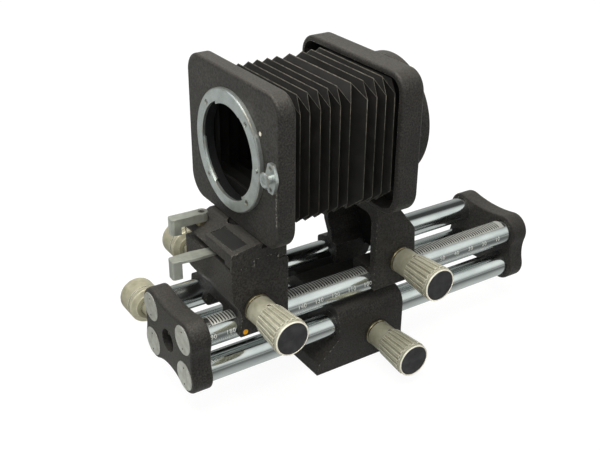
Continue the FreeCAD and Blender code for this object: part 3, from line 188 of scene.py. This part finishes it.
def hardChrome(name="hardChrome", toothed=False):
    # hard chrome on ground steel: mirror with fine rings from grinding and a slight cool cast
    finish = newFinish(name)
    rings = grain(finish, 0.25, 2.0, stretch=(0.04, 1, 0.04))  # coarser than real grinding marks, to show
    smears = grain(finish, 9.0, stretch=(1, 0.35, 1))
    colour = shadeBetween(finish, smears, 0.35, 0.7, "#d6dad9", "#bcc2c1")
    smeared = addNode(finish, "MapRange", "Result", (smears, 0.4, 0.75, 0.08, 0.15))
    ground = addNode(finish, "MapRange", "Result", (rings, 0.3, 0.7, 0.0, 0.05))
    rough = addNode(finish, "Math", "Value", (smeared, ground), operation="ADD")
    metal = 1.0
    if toothed:
        # the teeth on top of the rail: lapped dull and pale at the tips, which stand in for their glints, near
        # black between them as painted shade
        axes = addNode(finish, "SeparateXYZ", inputs={"Vector": placeOf(finish)})
        within = addNode(finish, "Math", "Value", (axes["Y"], rack["middleY"] * mm, rack["halfLength"] * mm),
                         operation="COMPARE")
        above = addNode(finish, "MapRange", "Result",
                        (axes["Z"], (rack["fromZ"] - rack["fade"]) * mm, rack["fromZ"] * mm, 0.0, 1.0))
        onRack = addNode(finish, "Math", "Value", (within, above), operation="MULTIPLY")
        # occlusion darkens the gaps between the teeth: painted shade
        clear = addNode(finish, "AmbientOcclusion", "AO", {"Distance": 0.9 * mm}, samples=6)
        teeth = shadeBetween(finish, clear, 0.62, 0.95, "#10100f", "#b0b3ae")
        colour = addNode(finish, "Mix", "Result", (onRack, colour, teeth), data_type="RGBA")
        lapped = addNode(finish, "Math", "Value", (onRack, rack["dull"]), operation="MULTIPLY")
        rough = addNode(finish, "Math", "Value", (rough, lapped), operation="MAXIMUM")
        lessMetalOnRack = addNode(finish, "Math", "Value", (onRack, rack["lessMetal"]), operation="MULTIPLY")
        metal = addNode(finish, "Math", "Value", (1.0, lessMetalOnRack), operation="SUBTRACT")
    return closeFinish(finish, {"Base Color": colour, "Metallic": metal, "Roughness": rough,
                                "Normal": relief(finish, rings, 0.0025, 0.12)})


def satinSteel():
    # faced and lacquered steel discs: pale, even satin with faint scratches, the spanner holes darkened as
    # painted shade
    finish = newFinish("satinSteel")
    scratches = grain(finish, 0.35, 4.0, 0.65, (1, 1, 0.12))
    stains = grain(finish, 3.5)
    colour = shadeBetween(finish, stains, 0.4, 0.75, "#cfd1ca", "#b8b7ad")
    colour = shadeBetween(finish, scratches, 0.55, 0.75, colour, "#8b8a84", 0.5)
    # occlusion darkens the spanner holes: painted shade
    hollow = addNode(finish, "AmbientOcclusion", "AO", {"Distance": 1.0 * mm}, samples=4)
    return closeFinish(finish, {
        "Base Color": shadeBetween(finish, hollow, 0.85, 0.45, colour, "#1b1a18"), "Metallic": 0.75,
        "Roughness": addNode(finish, "MapRange", "Result", (stains, 0.3, 0.7, 0.46, 0.6)),
        "Normal": relief(finish, scratches, 0.008, 0.15)})


knobTone = {"base_knob": "#bdbda9", "rear_knob": "#bfbea9", "front_knob": "#c8c7b2",
            "rod_clamp_knob": "#c3bfa6", "front_lock_knob": "#c1bda5"}
knobShadeAndHighlight = {"fluted": ("base_knob", "rear_knob", "front_knob"), "ring": 0.25,
            "fluteShade": "#5b5847", "highlightColour": "#fffcee"}


def satinNickel(node):
    # satin nickel on turned brass: warm and soft, painted near white as a highlight on the outer edges that
    # fingers polished, flutes darkened as painted shade
    finish = newFinish("satinNickel_" + node)
    turning = grain(finish, 0.3, stretch=(1, 0.05, 0.05))
    hands = grain(finish, 5.0, 4.0, 0.6)
    worn = outerEdges(finish, 0.5)
    # occlusion darkens the flutes and hollows: painted shade
    hollow = addNode(finish, "AmbientOcclusion", "AO", {"Distance": 1.2 * mm}, samples=4)
    colour = shadeBetween(finish, hands, 0.35, 0.7, knobTone[node], "#a5a38c")
    colour = shadeBetween(finish, hollow, 0.97, 0.62, colour, knobShadeAndHighlight["fluteShade"], 0.9)
    if node in knobShadeAndHighlight["fluted"]:
        # the ring round the end disc is polished, and gets the painted highlight too
        reach = max(vert.co.x for vert in nodes[node].data.vertices)
        along = addNode(finish, "SeparateXYZ", "X", {"Vector": placeOf(finish)})
        endRing = addNode(finish, "Math", "Value", (along, reach - knobShadeAndHighlight["ring"] * mm),
                          operation="GREATER_THAN")
        worn = addNode(finish, "Math", "Value", (worn, endRing), operation="MAXIMUM")
    # polished edges and the end ring turn near white and less metallic: painted highlight
    paintedHighlight = addNode(finish, "Math", "Value", (worn, 0.9), operation="MULTIPLY")
    colour = addNode(finish, "Mix", "Result", (paintedHighlight, colour, knobShadeAndHighlight["highlightColour"]), data_type="RGBA")
    handled = addNode(finish, "MapRange", "Result", (hands, 0.3, 0.7, 0.34, 0.46))
    smoother = addNode(finish, "Math", "Value", (worn, 0.14), operation="MULTIPLY")
    return closeFinish(finish, {
        "Base Color": colour, "Metallic": addNode(finish, "MapRange", "Result", (worn, 0.0, 1.0, 0.45, 0.1)),
        "Roughness": addNode(finish, "Math", "Value", (handled, smoother), operation="SUBTRACT"),
        "Normal": relief(finish, turning, 0.006, 0.15)})


def blackAnodised():
    # anodised aluminium discs in the knob ends: dark grey, matte, with fine grit
    finish = newFinish("blackAnodised")
    grit = grain(finish, 0.35)
    dust = grain(finish, 4.0)
    return closeFinish(finish, {
        "Base Color": shadeBetween(finish, dust, 0.4, 0.7, "#37373a", "#47474a"), "Metallic": 0.35,
        "Roughness": addNode(finish, "MapRange", "Result", (grit, 0.3, 0.7, 0.45, 0.6)),
        "Normal": relief(finish, grit, 0.01, 0.15)})


def turnedSteel():
    # plain turned steel: grey, fine tool marks, a little oil
    finish = newFinish("turnedSteel")
    oil = grain(finish, 2.5)
    return closeFinish(finish, {
        "Base Color": shadeBetween(finish, oil, 0.4, 0.7, "#a8a8a4", "#77756d"), "Metallic": 1.0,
        "Roughness": addNode(finish, "MapRange", "Result", (oil, 0.3, 0.7, 0.25, 0.42)),
        "Normal": relief(finish, grain(finish, 0.2, stretch=(1, 0.2, 0.2)), 0.006, 0.1)})


def turnedBrass():
    # turned brass bushes, nickel worn through to the yellow metal
    finish = newFinish("turnedBrass")
    tarnish = grain(finish, 2.2, 4.0)
    return closeFinish(finish, {
        "Base Color": shadeBetween(finish, tarnish, 0.35, 0.7, "#a29b80", "#736849"), "Metallic": 1.0,
        "Roughness": addNode(finish, "MapRange", "Result", (tarnish, 0.3, 0.7, 0.22, 0.4)),
        "Normal": relief(finish, grain(finish, 0.4), 0.006, 0.12)})


ringBore = {"z": 123.7, "radius": 23.6, "fromY": -66.9, "black": "#1d1f1f"}


def satinChrome():
    # satin chrome on brass: bluish grey with a fine grain, brass glints at the outer edge, bore coloured near
    # black
    finish = newFinish("satinChrome")
    satin = grain(finish, 0.28, 3.0, 0.6)
    stains = grain(finish, 6.0)
    patches = addNode(finish, "MapRange", "Result", (stains, 0.45, 0.55, 0.0, 0.75))
    worn = addNode(finish, "Math", "Value", (outerEdges(finish, 0.35), patches), operation="MULTIPLY")
    colour = shadeBetween(finish, stains, 0.35, 0.7, "#bfc6c4", "#a9b0ae")
    colour = addNode(finish, "Mix", "Result", (worn, colour, "#b99a63"), data_type="RGBA")
    axes = addNode(finish, "SeparateXYZ", inputs={"Vector": placeOf(finish)})
    height = addNode(finish, "Math", "Value", (axes["Z"], ringBore["z"] * mm), operation="SUBTRACT")
    fromAxis = addNode(finish, "CombineXYZ", "Vector", {"X": axes["X"], "Z": height})
    reach = addNode(finish, "VectorMath", "Value", (fromAxis,), operation="LENGTH")
    within = addNode(finish, "Math", "Value", (reach, ringBore["radius"] * mm), operation="LESS_THAN")
    behind = addNode(finish, "Math", "Value", (axes["Y"], ringBore["fromY"] * mm), operation="GREATER_THAN")
    bore = addNode(finish, "Math", "Value", (within, behind), operation="MULTIPLY")
    lessMetal = addNode(finish, "Math", "Value", (bore, 0.7), operation="MULTIPLY")
    return closeFinish(finish, {
        "Base Color": addNode(finish, "Mix", "Result", (bore, colour, ringBore["black"]), data_type="RGBA"),
        "Metallic": addNode(finish, "Math", "Value", (0.85, lessMetal), operation="SUBTRACT"),
        "Roughness": addNode(finish, "MapRange", "Result", (satin, 0.3, 0.7, 0.26, 0.36)),
        "Normal": relief(finish, satin, 0.004, 0.18)})


def leverChrome():
    # nickel-chrome on pressed steel levers: brighter than the ring, polished by fingers
    finish = newFinish("leverChrome")
    rubbed = grain(finish, 4.0, 2.0, 0.5)
    return closeFinish(finish, {
        "Base Color": shadeBetween(finish, rubbed, 0.35, 0.7, "#bcc0b6", "#a7aaa1"), "Metallic": 0.7,
        "Roughness": addNode(finish, "MapRange", "Result", (rubbed, 0.3, 0.7, 0.28, 0.38)),
        "Normal": relief(finish, rubbed, 0.004, 0.3)})


def matteLacquer():
    # matte black lacquer on the inner frames, which has to swallow light
    finish = newFinish("matteLacquer")
    grit = grain(finish, 0.5)
    colour = addNode(finish, "Mix", "Result", (grit, "#0f0f0f", "#1b1b1a"), data_type="RGBA")
    return closeFinish(finish, {"Base Color": colour, "Roughness": 0.8, "Specular IOR Level": 0.3,
                                "Normal": relief(finish, grit, 0.02)})


def enamelDot(name, code):
    # drop of glossy enamel in a drilled recess
    finish = newFinish(name)
    pool = grain(finish, 0.9, 2.0)
    thick = tuple(0.75 * channel for channel in hexColor(code)[:3]) + (1.0,)
    colour = addNode(finish, "Mix", "Result", (pool, code, thick), data_type="RGBA")
    return closeFinish(finish, {"Base Color": colour, "Roughness": 0.4, "Specular IOR Level": 0.25,
                                "Normal": relief(finish, pool, 0.03, 0.3)})


def etchedMark():
    # numbers etched into the chrome: matte, so they stay pale where the rail reflects dark
    finish = newFinish("etchedMark")
    grit = grain(finish, 0.25, 2.0)
    colour = addNode(finish, "Mix", "Result", (grit, "#dcdfd9", "#bfc2bc"), data_type="RGBA")
    return closeFinish(finish, {"Base Color": colour, "Metallic": 0.0, "Roughness": 0.7,
                                "Normal": relief(finish, grit, 0.01)})


cloth = {"colour": "#141413", "flank": "#1e1d1b", "ridge": "#7a776d", "thread": 0.45, "wornFrom": 0.95,
         "fadeFromZ": 128, "fadeToZ": 146}


def coatedCloth():
    # black rubberised book cloth, folded: nearly matte, fine weave, coating rubbed grey along the ridges, which
    # grow paler towards the top as painted light from above
    finish = newFinish("coatedCloth")
    weave = grain(finish, cloth["thread"], 2.0, 0.4)  # coarser than the real thread, so that it shows
    dust = grain(finish, 7.0, 4.0, 0.6)
    ridge = addNode(finish, "Attribute", "Fac", attribute_name="ridgeWear")
    crest = addNode(finish, "MapRange", "Result", (ridge, cloth["wornFrom"], 0.985, 0.0, 1.0))
    along = grain(finish, 2.4, 3.0, 0.6, (1, 0.3, 1))
    uneven = addNode(finish, "MapRange", "Result", (along, 0.32, 0.6, 0.35, 1.0))
    height = addNode(finish, "SeparateXYZ", "Z", {"Vector": placeOf(finish)})
    # ridges turn paler with height: painted light from above
    paintedTopLight = addNode(finish, "MapRange", "Result",
                     (height, cloth["fadeFromZ"] * mm, cloth["fadeToZ"] * mm, 0.4, 1.0))
    worn = addNode(finish, "Math", "Value", (crest, uneven), operation="MULTIPLY")
    worn = addNode(finish, "Math", "Value", (worn, paintedTopLight), operation="MULTIPLY")
    colour = shadeBetween(finish, dust, 0.4, 0.7, cloth["colour"], cloth["flank"])
    return closeFinish(finish, {
        "Base Color": addNode(finish, "Mix", "Result", (worn, colour, cloth["ridge"]), data_type="RGBA"),
        "Roughness": addNode(finish, "MapRange", "Result", (dust, 0.3, 0.7, 0.5, 0.66)),
        "Specular IOR Level": 0.35, "Sheen Weight": 0.05, "Sheen Roughness": 0.4,
        "Normal": relief(finish, weave, 0.03)})


finishes = {
    "black_paint": crackleEnamel(), "rail_chrome": hardChrome(), "cap_steel": satinSteel(),
    "knob_disc": blackAnodised(), "steel": turnedSteel(), "brass": turnedBrass(),
    "mount_chrome": satinChrome(), "lever_chrome": leverChrome(), "frame_black": matteLacquer(),
    "bellows_cloth": coatedCloth(), "dot_orange": enamelDot("orangeEnamel", "#eba400"),
    "dot_white": enamelDot("whiteEnamel", "#ece6d6"),
}
# single pieces that differ from the rest of their slot
special = {"name_plate": satinEnamel(), "rail_upper_right": hardChrome("hardChrome_rack", toothed=True),
           "front_standard": crackleEnamel("crackleEnamel_scuffed", frontScuffs)}
for knob in knobTone:
    special[knob] = satinNickel(knob)
for name, piece in nodes.items():
    finish = special.get(name) or finishes[slotOf[name]]
    if not piece.material_slots:
        piece.data.materials.append(finish)
    for slot in piece.material_slots:
        slot.material = finish
print("finishes made:", len(bpy.data.materials))


bellows = {
    "halfWidth": 38.2, "halfHeight": 31.0, "chamfer": 6.8, "middleZ": 126.4, "slump": (12.4, 9.0),
    "depth": 8.0, "endInset": 6.4, "tuck": 1.9, "pitch": 5.2, "front": 6, "rear": 4, "gap": 9.2,
    "startY": -57.8, "firstRidgeY": -53.1, "endY": 6.5, "wall": 0.5, "unevenY": 0.35, "unevenIn": 0.3,
    "corners": 8, "straight": 0.1, "crest": 0.9, "flankWear": 0.8, "seed": 11,
}


def foldStations():
    # (y, how far the sides are in, how far top and bottom are in) for every fold, front to back
    b = bellows
    ridges = [b["firstRidgeY"] + i * b["pitch"] for i in range(b["front"])]
    ridges += [ridges[-1] + b["gap"] + i * b["pitch"] for i in range(b["rear"])]
    stations = [(b["startY"], b["depth"], b["endInset"]), ((b["startY"] + ridges[0]) / 2, b["depth"], 0.0)]
    for i, y in enumerate(ridges):
        last = i + 1 == len(ridges)
        onward = y + b["pitch"] if last else ridges[i + 1]
        stations.append((y, 0.0, b["depth"]))
        stations.append(((y + onward) / 2, b["depth"], b["tuck"] if last else 0.0))
    stations.append((b["endY"], b["depth"], b["endInset"]))
    return stations


def foldCorners(y, sideIn, topIn, uneven):
    # the eight corners of one fold, each a little out of true; the upper left one has slumped
    b = bellows
    w, h = b["halfWidth"] - sideIn, b["halfHeight"] - topIn
    side, top = b["halfHeight"] - b["chamfer"], b["halfWidth"] - b["chamfer"]
    slumpX, slumpZ = b["slump"]
    corners = [(w, -side), (w, side), (top, h), (slumpX - top, h),
               (-w, side - slumpZ), (-w, -side), (-top, -h), (top, -h)]
    placed = []
    for x, z in corners:
        inward = 1 - uneven * random.random() * b["unevenIn"] / b["halfHeight"]
        shiftY = uneven * (random.random() - 0.5) * 2 * b["unevenY"]
        placed.append(Vector((x * inward, y + shiftY, b["middleZ"] + z * inward)) * mm)
    return placed


def roundAxis(place):
    # angle round the optical axis, counted from the right
    return math.atan2(place.z - bellows["middleZ"] * mm, place.x) % fullTurn


def vertsInOrder(verts):
    return sorted(verts, key=lambda vert: roundAxis(vert.co))


def extrudeFolds(piece, rings, goesIn):
    # one ring of corners, extruded from fold to fold; returns the creases across the corner facets
    bpy.ops.object.mode_set(mode="EDIT")
    shape = bmesh.from_edit_mesh(piece.data)
    for vert in shape.verts:  # stand the circle upright about the optical axis
        vert.co = Vector((vert.co.x, 0, vert.co.y + bellows["middleZ"] * mm))
    before = vertsInOrder(shape.verts)
    for vert, corner in zip(before, sorted(rings[0], key=roundAxis)):
        vert.co = corner
    creases = []
    for ring, sidesIn in zip(rings[1:], goesIn):
        oldPlaces = [vert.co.copy() for vert in before]
        bpy.ops.mesh.extrude_edges_indiv()
        shape = bmesh.from_edit_mesh(piece.data)
        after = vertsInOrder([vert for vert in shape.verts if vert.select])
        for vert, corner in zip(after, sorted(ring, key=roundAxis)):
            vert.co = corner
        for i, here in enumerate(oldPlaces):
            j = (i + 1) % bellows["corners"]
            onward = oldPlaces[j]
            if min(abs(here.x - onward.x), abs(here.z - onward.z)) < bellows["straight"] * mm:
                continue
            upper = here.z + onward.z > 2 * bellows["middleZ"] * mm
            right = here.x + onward.x > 0
            if (upper == right) == sidesIn:
                creases.append((here, after[j].co.copy()))
            else:
                creases.append((onward, after[i].co.copy()))
        before = after
    bmesh.update_edit_mesh(piece.data)
    bpy.ops.object.mode_set(mode="OBJECT")
    return creases


def creaseCorners(shape, creases):
    # each corner facet folds along one of its diagonals
    for start, stop in creases:
        a = min(shape.verts, key=lambda vert: (vert.co - start).length)
        b = min(shape.verts, key=lambda vert: (vert.co - stop).length)
        shared = [face for face in a.link_faces if b in face.verts and len(face.verts) == 4]
        if shared:
            bmesh.utils.face_split(shared[0], a, b)


def markRidges(shape):
    # 1 on the outer folds, where the coating rubs off
    wear = shape.verts.layers.float.new("ridgeWear")
    for vert in shape.verts:
        reachX = abs(vert.co.x) / mm - (bellows["halfWidth"] - bellows["depth"])
        reachZ = abs(vert.co.z / mm - bellows["middleZ"]) - (bellows["halfHeight"] - bellows["depth"])
        reach = max(reachX, reachZ) / bellows["depth"]
        vert[wear] = 1.0 if reach > bellows["crest"] else max(0.0, reach) * bellows["flankWear"]
    return wear


def addLining(shape, wear):
    # the inner side of the cloth, closed to the outer one at both ends
    rims = [edge for edge in shape.edges if edge.is_boundary]
    lining = bmesh.ops.duplicate(shape, geom=shape.verts[:] + shape.edges[:] + shape.faces[:])
    for vert in [part for part in lining["geom"] if isinstance(part, bmesh.types.BMVert)]:
        vert.co.x *= 1 - bellows["wall"] / bellows["halfWidth"]
        vert.co.z += (bellows["middleZ"] * mm - vert.co.z) * bellows["wall"] / bellows["halfHeight"]
        vert[wear] = 0.0
    twin = lining["vert_map"]
    for edge in rims:
        first, second = edge.verts
        shape.faces.new((first, second, twin[second], twin[first]))
    bmesh.ops.recalc_face_normals(shape, faces=shape.faces)


def foldedSection(name, rings, goesIn):
    # a run of folds with its lining; goesIn says of each fold whether the sides go inwards to the next one
    deselectAll()
    bpy.ops.mesh.primitive_circle_add(vertices=bellows["corners"], radius=bellows["halfHeight"] * mm,
                                      location=(0, 0, 0))
    piece = bpy.context.object
    piece.name = piece.data.name = name
    creases = extrudeFolds(piece, rings, goesIn)
    shape = bmesh.new()
    shape.from_mesh(piece.data)
    creaseCorners(shape, creases)
    addLining(shape, markRidges(shape))
    shape.to_mesh(piece.data)
    shape.free()
    piece.data.materials.append(finishes["bellows_cloth"])
    return piece


random.seed(bellows["seed"])
stations = foldStations()
lastFold = len(stations) - 1
# each section is listed with the pieces on either side of one joint, which nothing here reads, and starts and
# ends on a fold that stays whole
sections = (("bellows_folds_shift", 0, 2, "front_standard", "swing_table"),
            ("bellows_folds_swing", 2, 10, "swing_table", "front_carriage"),
            ("bellows_folds_front", 10, 16, "front_carriage", "rails"),
            ("bellows_folds_rear", 16, lastFold, "rails", "rear_carriage"))
whole = {0} | {section[2] for section in sections}
rings = [foldCorners(*station, 0.0 if i in whole else 1.0) for i, station in enumerate(stations)]
goesIn = [fold[1] < onward[1] for fold, onward in zip(stations, stations[1:])]
for name, first, last, bodyA, bodyB in sections:
    piece = foldedSection(name, rings[first:last + 1], goesIn[first:last])
    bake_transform(piece)
    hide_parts("bellows")
print("bellows folded:", len(stations), "folds in", len(sections), "sections")


scale = {
    "railX": 17.15, "railZ": 42.7, "radius": 7.0, "zeroY": 98.2, "first": 10, "last": 190, "step": 10,
    "height": 2.3, "capShare": 0.72, "spacing": 1.12, "angle": 9.0, "proud": 0.02, "sunk": 0.05,
    "tickAngle": -17.5, "tickWidth": 0.13, "tickLengths": {1: 0.8, 5: 1.2, 10: 1.7},
    "curveSteps": 3, "cuts": 2,
}


def wrapOnRail(mesh, value, angle):
    # flat x runs back along the rail from the value's place, flat y climbs round it, flat z stands off it
    for vert in mesh.vertices:
        climb = math.radians(angle) + vert.co.y / (scale["radius"] * mm)
        reach = scale["radius"] * mm + vert.co.z
        vert.co = Vector((scale["railX"] * mm + reach * math.cos(climb),
                          (scale["zeroY"] - value) * mm + vert.co.x,
                          scale["railZ"] * mm + reach * math.sin(climb)))


def scaleNumber(value):
    # one figure of the scale, thin and flat, then laid round the rail
    deselectAll()
    bpy.ops.object.text_add(location=(0, 0, 0))
    number = bpy.context.object
    number.data.body = str(value)
    number.data.size = scale["height"] * mm / scale["capShare"]
    number.data.align_x = "CENTER"
    number.data.align_y = "CENTER"
    number.data.space_character = scale["spacing"]
    number.data.extrude = (scale["proud"] + scale["sunk"]) / 2 * mm
    number.data.resolution_u = scale["curveSteps"]
    bpy.ops.object.convert(target="MESH")
    bpy.ops.object.mode_set(mode="EDIT")
    bpy.ops.mesh.select_all(action="SELECT")
    bpy.ops.mesh.remove_doubles(threshold=0.001 * mm)
    bpy.ops.mesh.quads_convert_to_tris()
    bpy.ops.mesh.subdivide(number_cuts=scale["cuts"])  # long strokes have to follow the round rail
    bpy.ops.object.mode_set(mode="OBJECT")
    for vert in number.data.vertices:
        vert.co.z += (scale["proud"] - scale["sunk"]) / 2 * mm
    wrapOnRail(number.data, value, scale["angle"])
    return number


def scaleTick(value):
    # one line of the scale, longer at every fifth and tenth
    length = max(length for every, length in scale["tickLengths"].items() if value % every == 0) * mm
    deselectAll()
    bpy.ops.mesh.primitive_plane_add(size=1, location=(0, 0, 0))
    tick = bpy.context.object
    for vert in tick.data.vertices:
        along, across = vert.co.x * scale["tickWidth"] * mm, (vert.co.y + 0.5) * length
        vert.co = Vector((along, across, scale["proud"] * mm))
    bpy.ops.object.mode_set(mode="EDIT")
    bpy.ops.mesh.select_all(action="SELECT")
    depth = (scale["proud"] + scale["sunk"]) * mm
    bpy.ops.mesh.extrude_region_move(TRANSFORM_OT_translate={"value": (0, 0, -depth)})
    bpy.ops.mesh.select_all(action="SELECT")
    bpy.ops.mesh.normals_make_consistent(inside=False)
    bpy.ops.object.mode_set(mode="OBJECT")
    wrapOnRail(tick.data, value, scale["tickAngle"])
    return tick


marks = [scaleNumber(value) for value in range(scale["first"], scale["last"] + 1, scale["step"])]
marks += [scaleTick(value) for value in range(scale["first"], scale["last"] + 1)]
deselectAll()
for mark in marks:
    mark.select_set(True)
bpy.context.view_layer.objects.active = marks[0]
bpy.ops.object.join()
railScale = bpy.context.object
railScale.name = railScale.data.name = "rail_scale"
railScale.data.materials.clear()
railScale.data.materials.append(etchedMark())
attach(railScale, "rails")
print("scale engraved:", len(marks), "marks")


studio = {
    # levels are strengths of glow, bands and sizes metres, drops millimetres; softbox and backWindow directions
    "worldLight": 0.27, "shadow": 0.14, "glow": 1.09, "paper": ("#e2e2df", "#dcdcd9"), "tentRadius": 1.5,
    "softbox": (0.69, 0.486, 0.54), "softboxLevel": 0.95,
    "backWindow": (-0.75, 0.45, 0.48), "backWindowLevel": 0.3,
    "patchEdge": 0.84, "patchCore": 0.97, "wallLevel": 0.2, "topLevel": 0.05, "darkens": (0.3, 0.85),
    "tableUnder": 0.62, "tableRound": 0.2, "underBand": (0.03, 0.08),
    "tableLeft": 0.4, "leftBand": (-0.1, -0.17), "tableRight": 0.3, "rightBand": (0.15, 0.25),
    "floorSize": 12, "floorDrop": 0.3, "tableDrop": 0.1, "aim": (0, 0, 0.08),
}
# name, place, size in metres, watts, colour
lamps = (("overhead", (0.05, -0.1, 0.55), 0.45, 4.0, "#fffaf2"),
         ("frontFill", (-0.3, -0.42, 0.5), 0.4, 0.5, "#f4f7ff"),
         ("rightFill", (0.9, -0.45, 0.6), 0.5, 2.0, "#ffffff"),
         ("backFill", (-0.9, 0.6, 0.62), 0.9, 4.6, "#ffffff"))


def seenRays(owner):
    # 1 for what is seen, straight, in a mirror or through glass, and 0 for light that falls on things
    rays = addNode(owner, "LightPath")
    seen = rays["Is Camera Ray"]
    for other in ("Is Glossy Ray", "Is Transmission Ray"):
        seen = addNode(owner, "Math", "Value", (seen, rays[other]), operation="MAXIMUM")
    return seen


def paperSweep():
    # matte white paper: shows white, and keeps part of the object's shadow
    finish = newFinish("paperSweep")
    colour = addNode(finish, "Mix", "Result", (grain(finish, 3.0), *studio["paper"]), data_type="RGBA")
    matte = addNode(finish, "BsdfDiffuse", "BSDF", {"Color": colour})
    glow = addNode(finish, "Emission", "Emission", {"Color": "#ffffff", "Strength": studio["glow"]})
    share = addNode(finish, "Math", "Value", (seenRays(finish), 1 - studio["shadow"]), operation="MULTIPLY")
    surface = addNode(finish, "MixShader", "Shader", (share, matte, glow))
    addNode(finish, "OutputMaterial", inputs={"Surface": surface})
    return finish


def closeGlow(finish, level):
    light = addNode(finish, "Emission", "Emission", {"Color": "#f7fbf8", "Strength": level})
    addNode(finish, "OutputMaterial", inputs={"Surface": light})
    return finish


def tentCloth():
    # grey studio tent with a softbox glowing through it high on the right, and a weaker one at the back left
    finish = newFinish("tentCloth")
    place = placeOf(finish, (1 / studio["tentRadius"],) * 3)
    height = addNode(finish, "SeparateXYZ", "Z", {"Vector": place})
    level = addNode(finish, "MapRange", "Result",
                    (height, *studio["darkens"], studio["wallLevel"], studio["topLevel"]))
    for spot in ("softbox", "backWindow"):
        near = addNode(finish, "VectorMath", "Value", (place, studio[spot]), operation="DOT_PRODUCT")
        patch = addNode(finish, "MapRange", "Result",
                        (near, studio["patchEdge"], studio["patchCore"], 0.0, studio[spot + "Level"]))
        level = addNode(finish, "Math", "Value", (level, patch), operation="ADD")
    return closeGlow(finish, level)


def tableCloth():
    # pale table, darker in a band on both sides of the object, where it stands in its own shade
    finish = newFinish("tableCloth")
    right = addNode(finish, "SeparateXYZ", "X", {"Vector": placeOf(finish)})
    away = addNode(finish, "Math", "Value", (right,), operation="ABSOLUTE")
    level = addNode(finish, "MapRange", "Result",
                    (away, *studio["underBand"], studio["tableUnder"], studio["tableRound"]))
    for band, brightness in (("leftBand", studio["tableLeft"]), ("rightBand", studio["tableRight"])):
        side = addNode(finish, "MapRange", "Result", (right, *studio[band], 0.0, brightness))
        level = addNode(finish, "Math", "Value", (level, side), operation="ADD")
    return closeGlow(finish, level)


deselectAll()
bpy.ops.mesh.primitive_plane_add(size=studio["floorSize"], location=(0, 0, -studio["floorDrop"] * mm))
floor = bpy.context.object
floor.name = "floor"
floor.data.materials.append(paperSweep())

# tent and table show only in reflections: they give the chrome something grey to mirror
deselectAll()
bpy.ops.mesh.primitive_uv_sphere_add(segments=48, ring_count=24, radius=studio["tentRadius"],
                                     location=(0, 0, 0))
tent = bpy.context.object
tent.name = "reflection_tent"
tent.data.materials.append(tentCloth())
deselectAll()
bpy.ops.mesh.primitive_plane_add(size=2 * studio["tentRadius"], location=(0, 0, -studio["tableDrop"] * mm))
table = bpy.context.object
table.name = "reflection_table"
table.data.materials.append(tableCloth())
for screen in (tent, table):
    screen.visible_camera = False
    screen.visible_diffuse = False
    screen.visible_shadow = False
    screen.visible_transmission = False
    screen.visible_volume_scatter = False

for name, place, size, power, colour in lamps:
    light = bpy.data.lights.new(name, "AREA")
    light.shape = "SQUARE"
    light.size = size
    light.energy = power
    light.color = hexColor(colour)[:3]
    lamp = bpy.data.objects.new(name, light)
    bpy.context.scene.collection.objects.link(lamp)
    lamp.location = place
    lamp.visible_glossy = name != "backFill"  # it would show as a white streak along the rails
    lamp.rotation_euler = (Vector(studio["aim"]) - lamp.location).to_track_quat("-Z", "Y").to_euler()

world = bpy.data.worlds.new("studioAir")
bpy.context.scene.world = world
world.use_nodes = True
world.node_tree.nodes.clear()
airLevel = addNode(world, "MapRange", "Result", {"Value": seenRays(world), "To Min": studio["worldLight"]})
air = addNode(world, "Background", "Background", {"Color": "#ffffff", "Strength": airLevel})
addNode(world, "OutputWorld", inputs={"Surface": air})

# degrees, metres, and millimetres of lens and film
view = {"azimuth": 56.73, "elevation": 27.65, "roll": 0.54, "place": (0.34919, -0.25695, 0.29326),
        "lens": 56.43, "sensor": 36, "nearest": 0.01}
azimuth, elevation, roll = (math.radians(view[turn]) for turn in ("azimuth", "elevation", "roll"))
right = Vector((math.cos(azimuth), math.sin(azimuth), 0))
levelBack = Vector((math.sin(azimuth), -math.cos(azimuth), 0))
back = levelBack * math.cos(elevation) + Vector((0, 0, math.sin(elevation)))
up = back.cross(right)
across = right * math.cos(roll) + up * math.sin(roll)
upright = up * math.cos(roll) - right * math.sin(roll)
optics = bpy.data.cameras.new("camera")
optics.lens = view["lens"]
optics.sensor_width = view["sensor"]
optics.clip_start = view["nearest"]
camera = bpy.data.objects.new("camera", optics)
bpy.context.scene.collection.objects.link(camera)
facing = Matrix((across, upright, back)).transposed().to_4x4()
camera.matrix_world = Matrix.Translation(Vector(view["place"])) @ facing
bpy.context.scene.camera = camera
bpy.context.scene.view_settings.view_transform = "Standard"
print("studio lit, camera set")
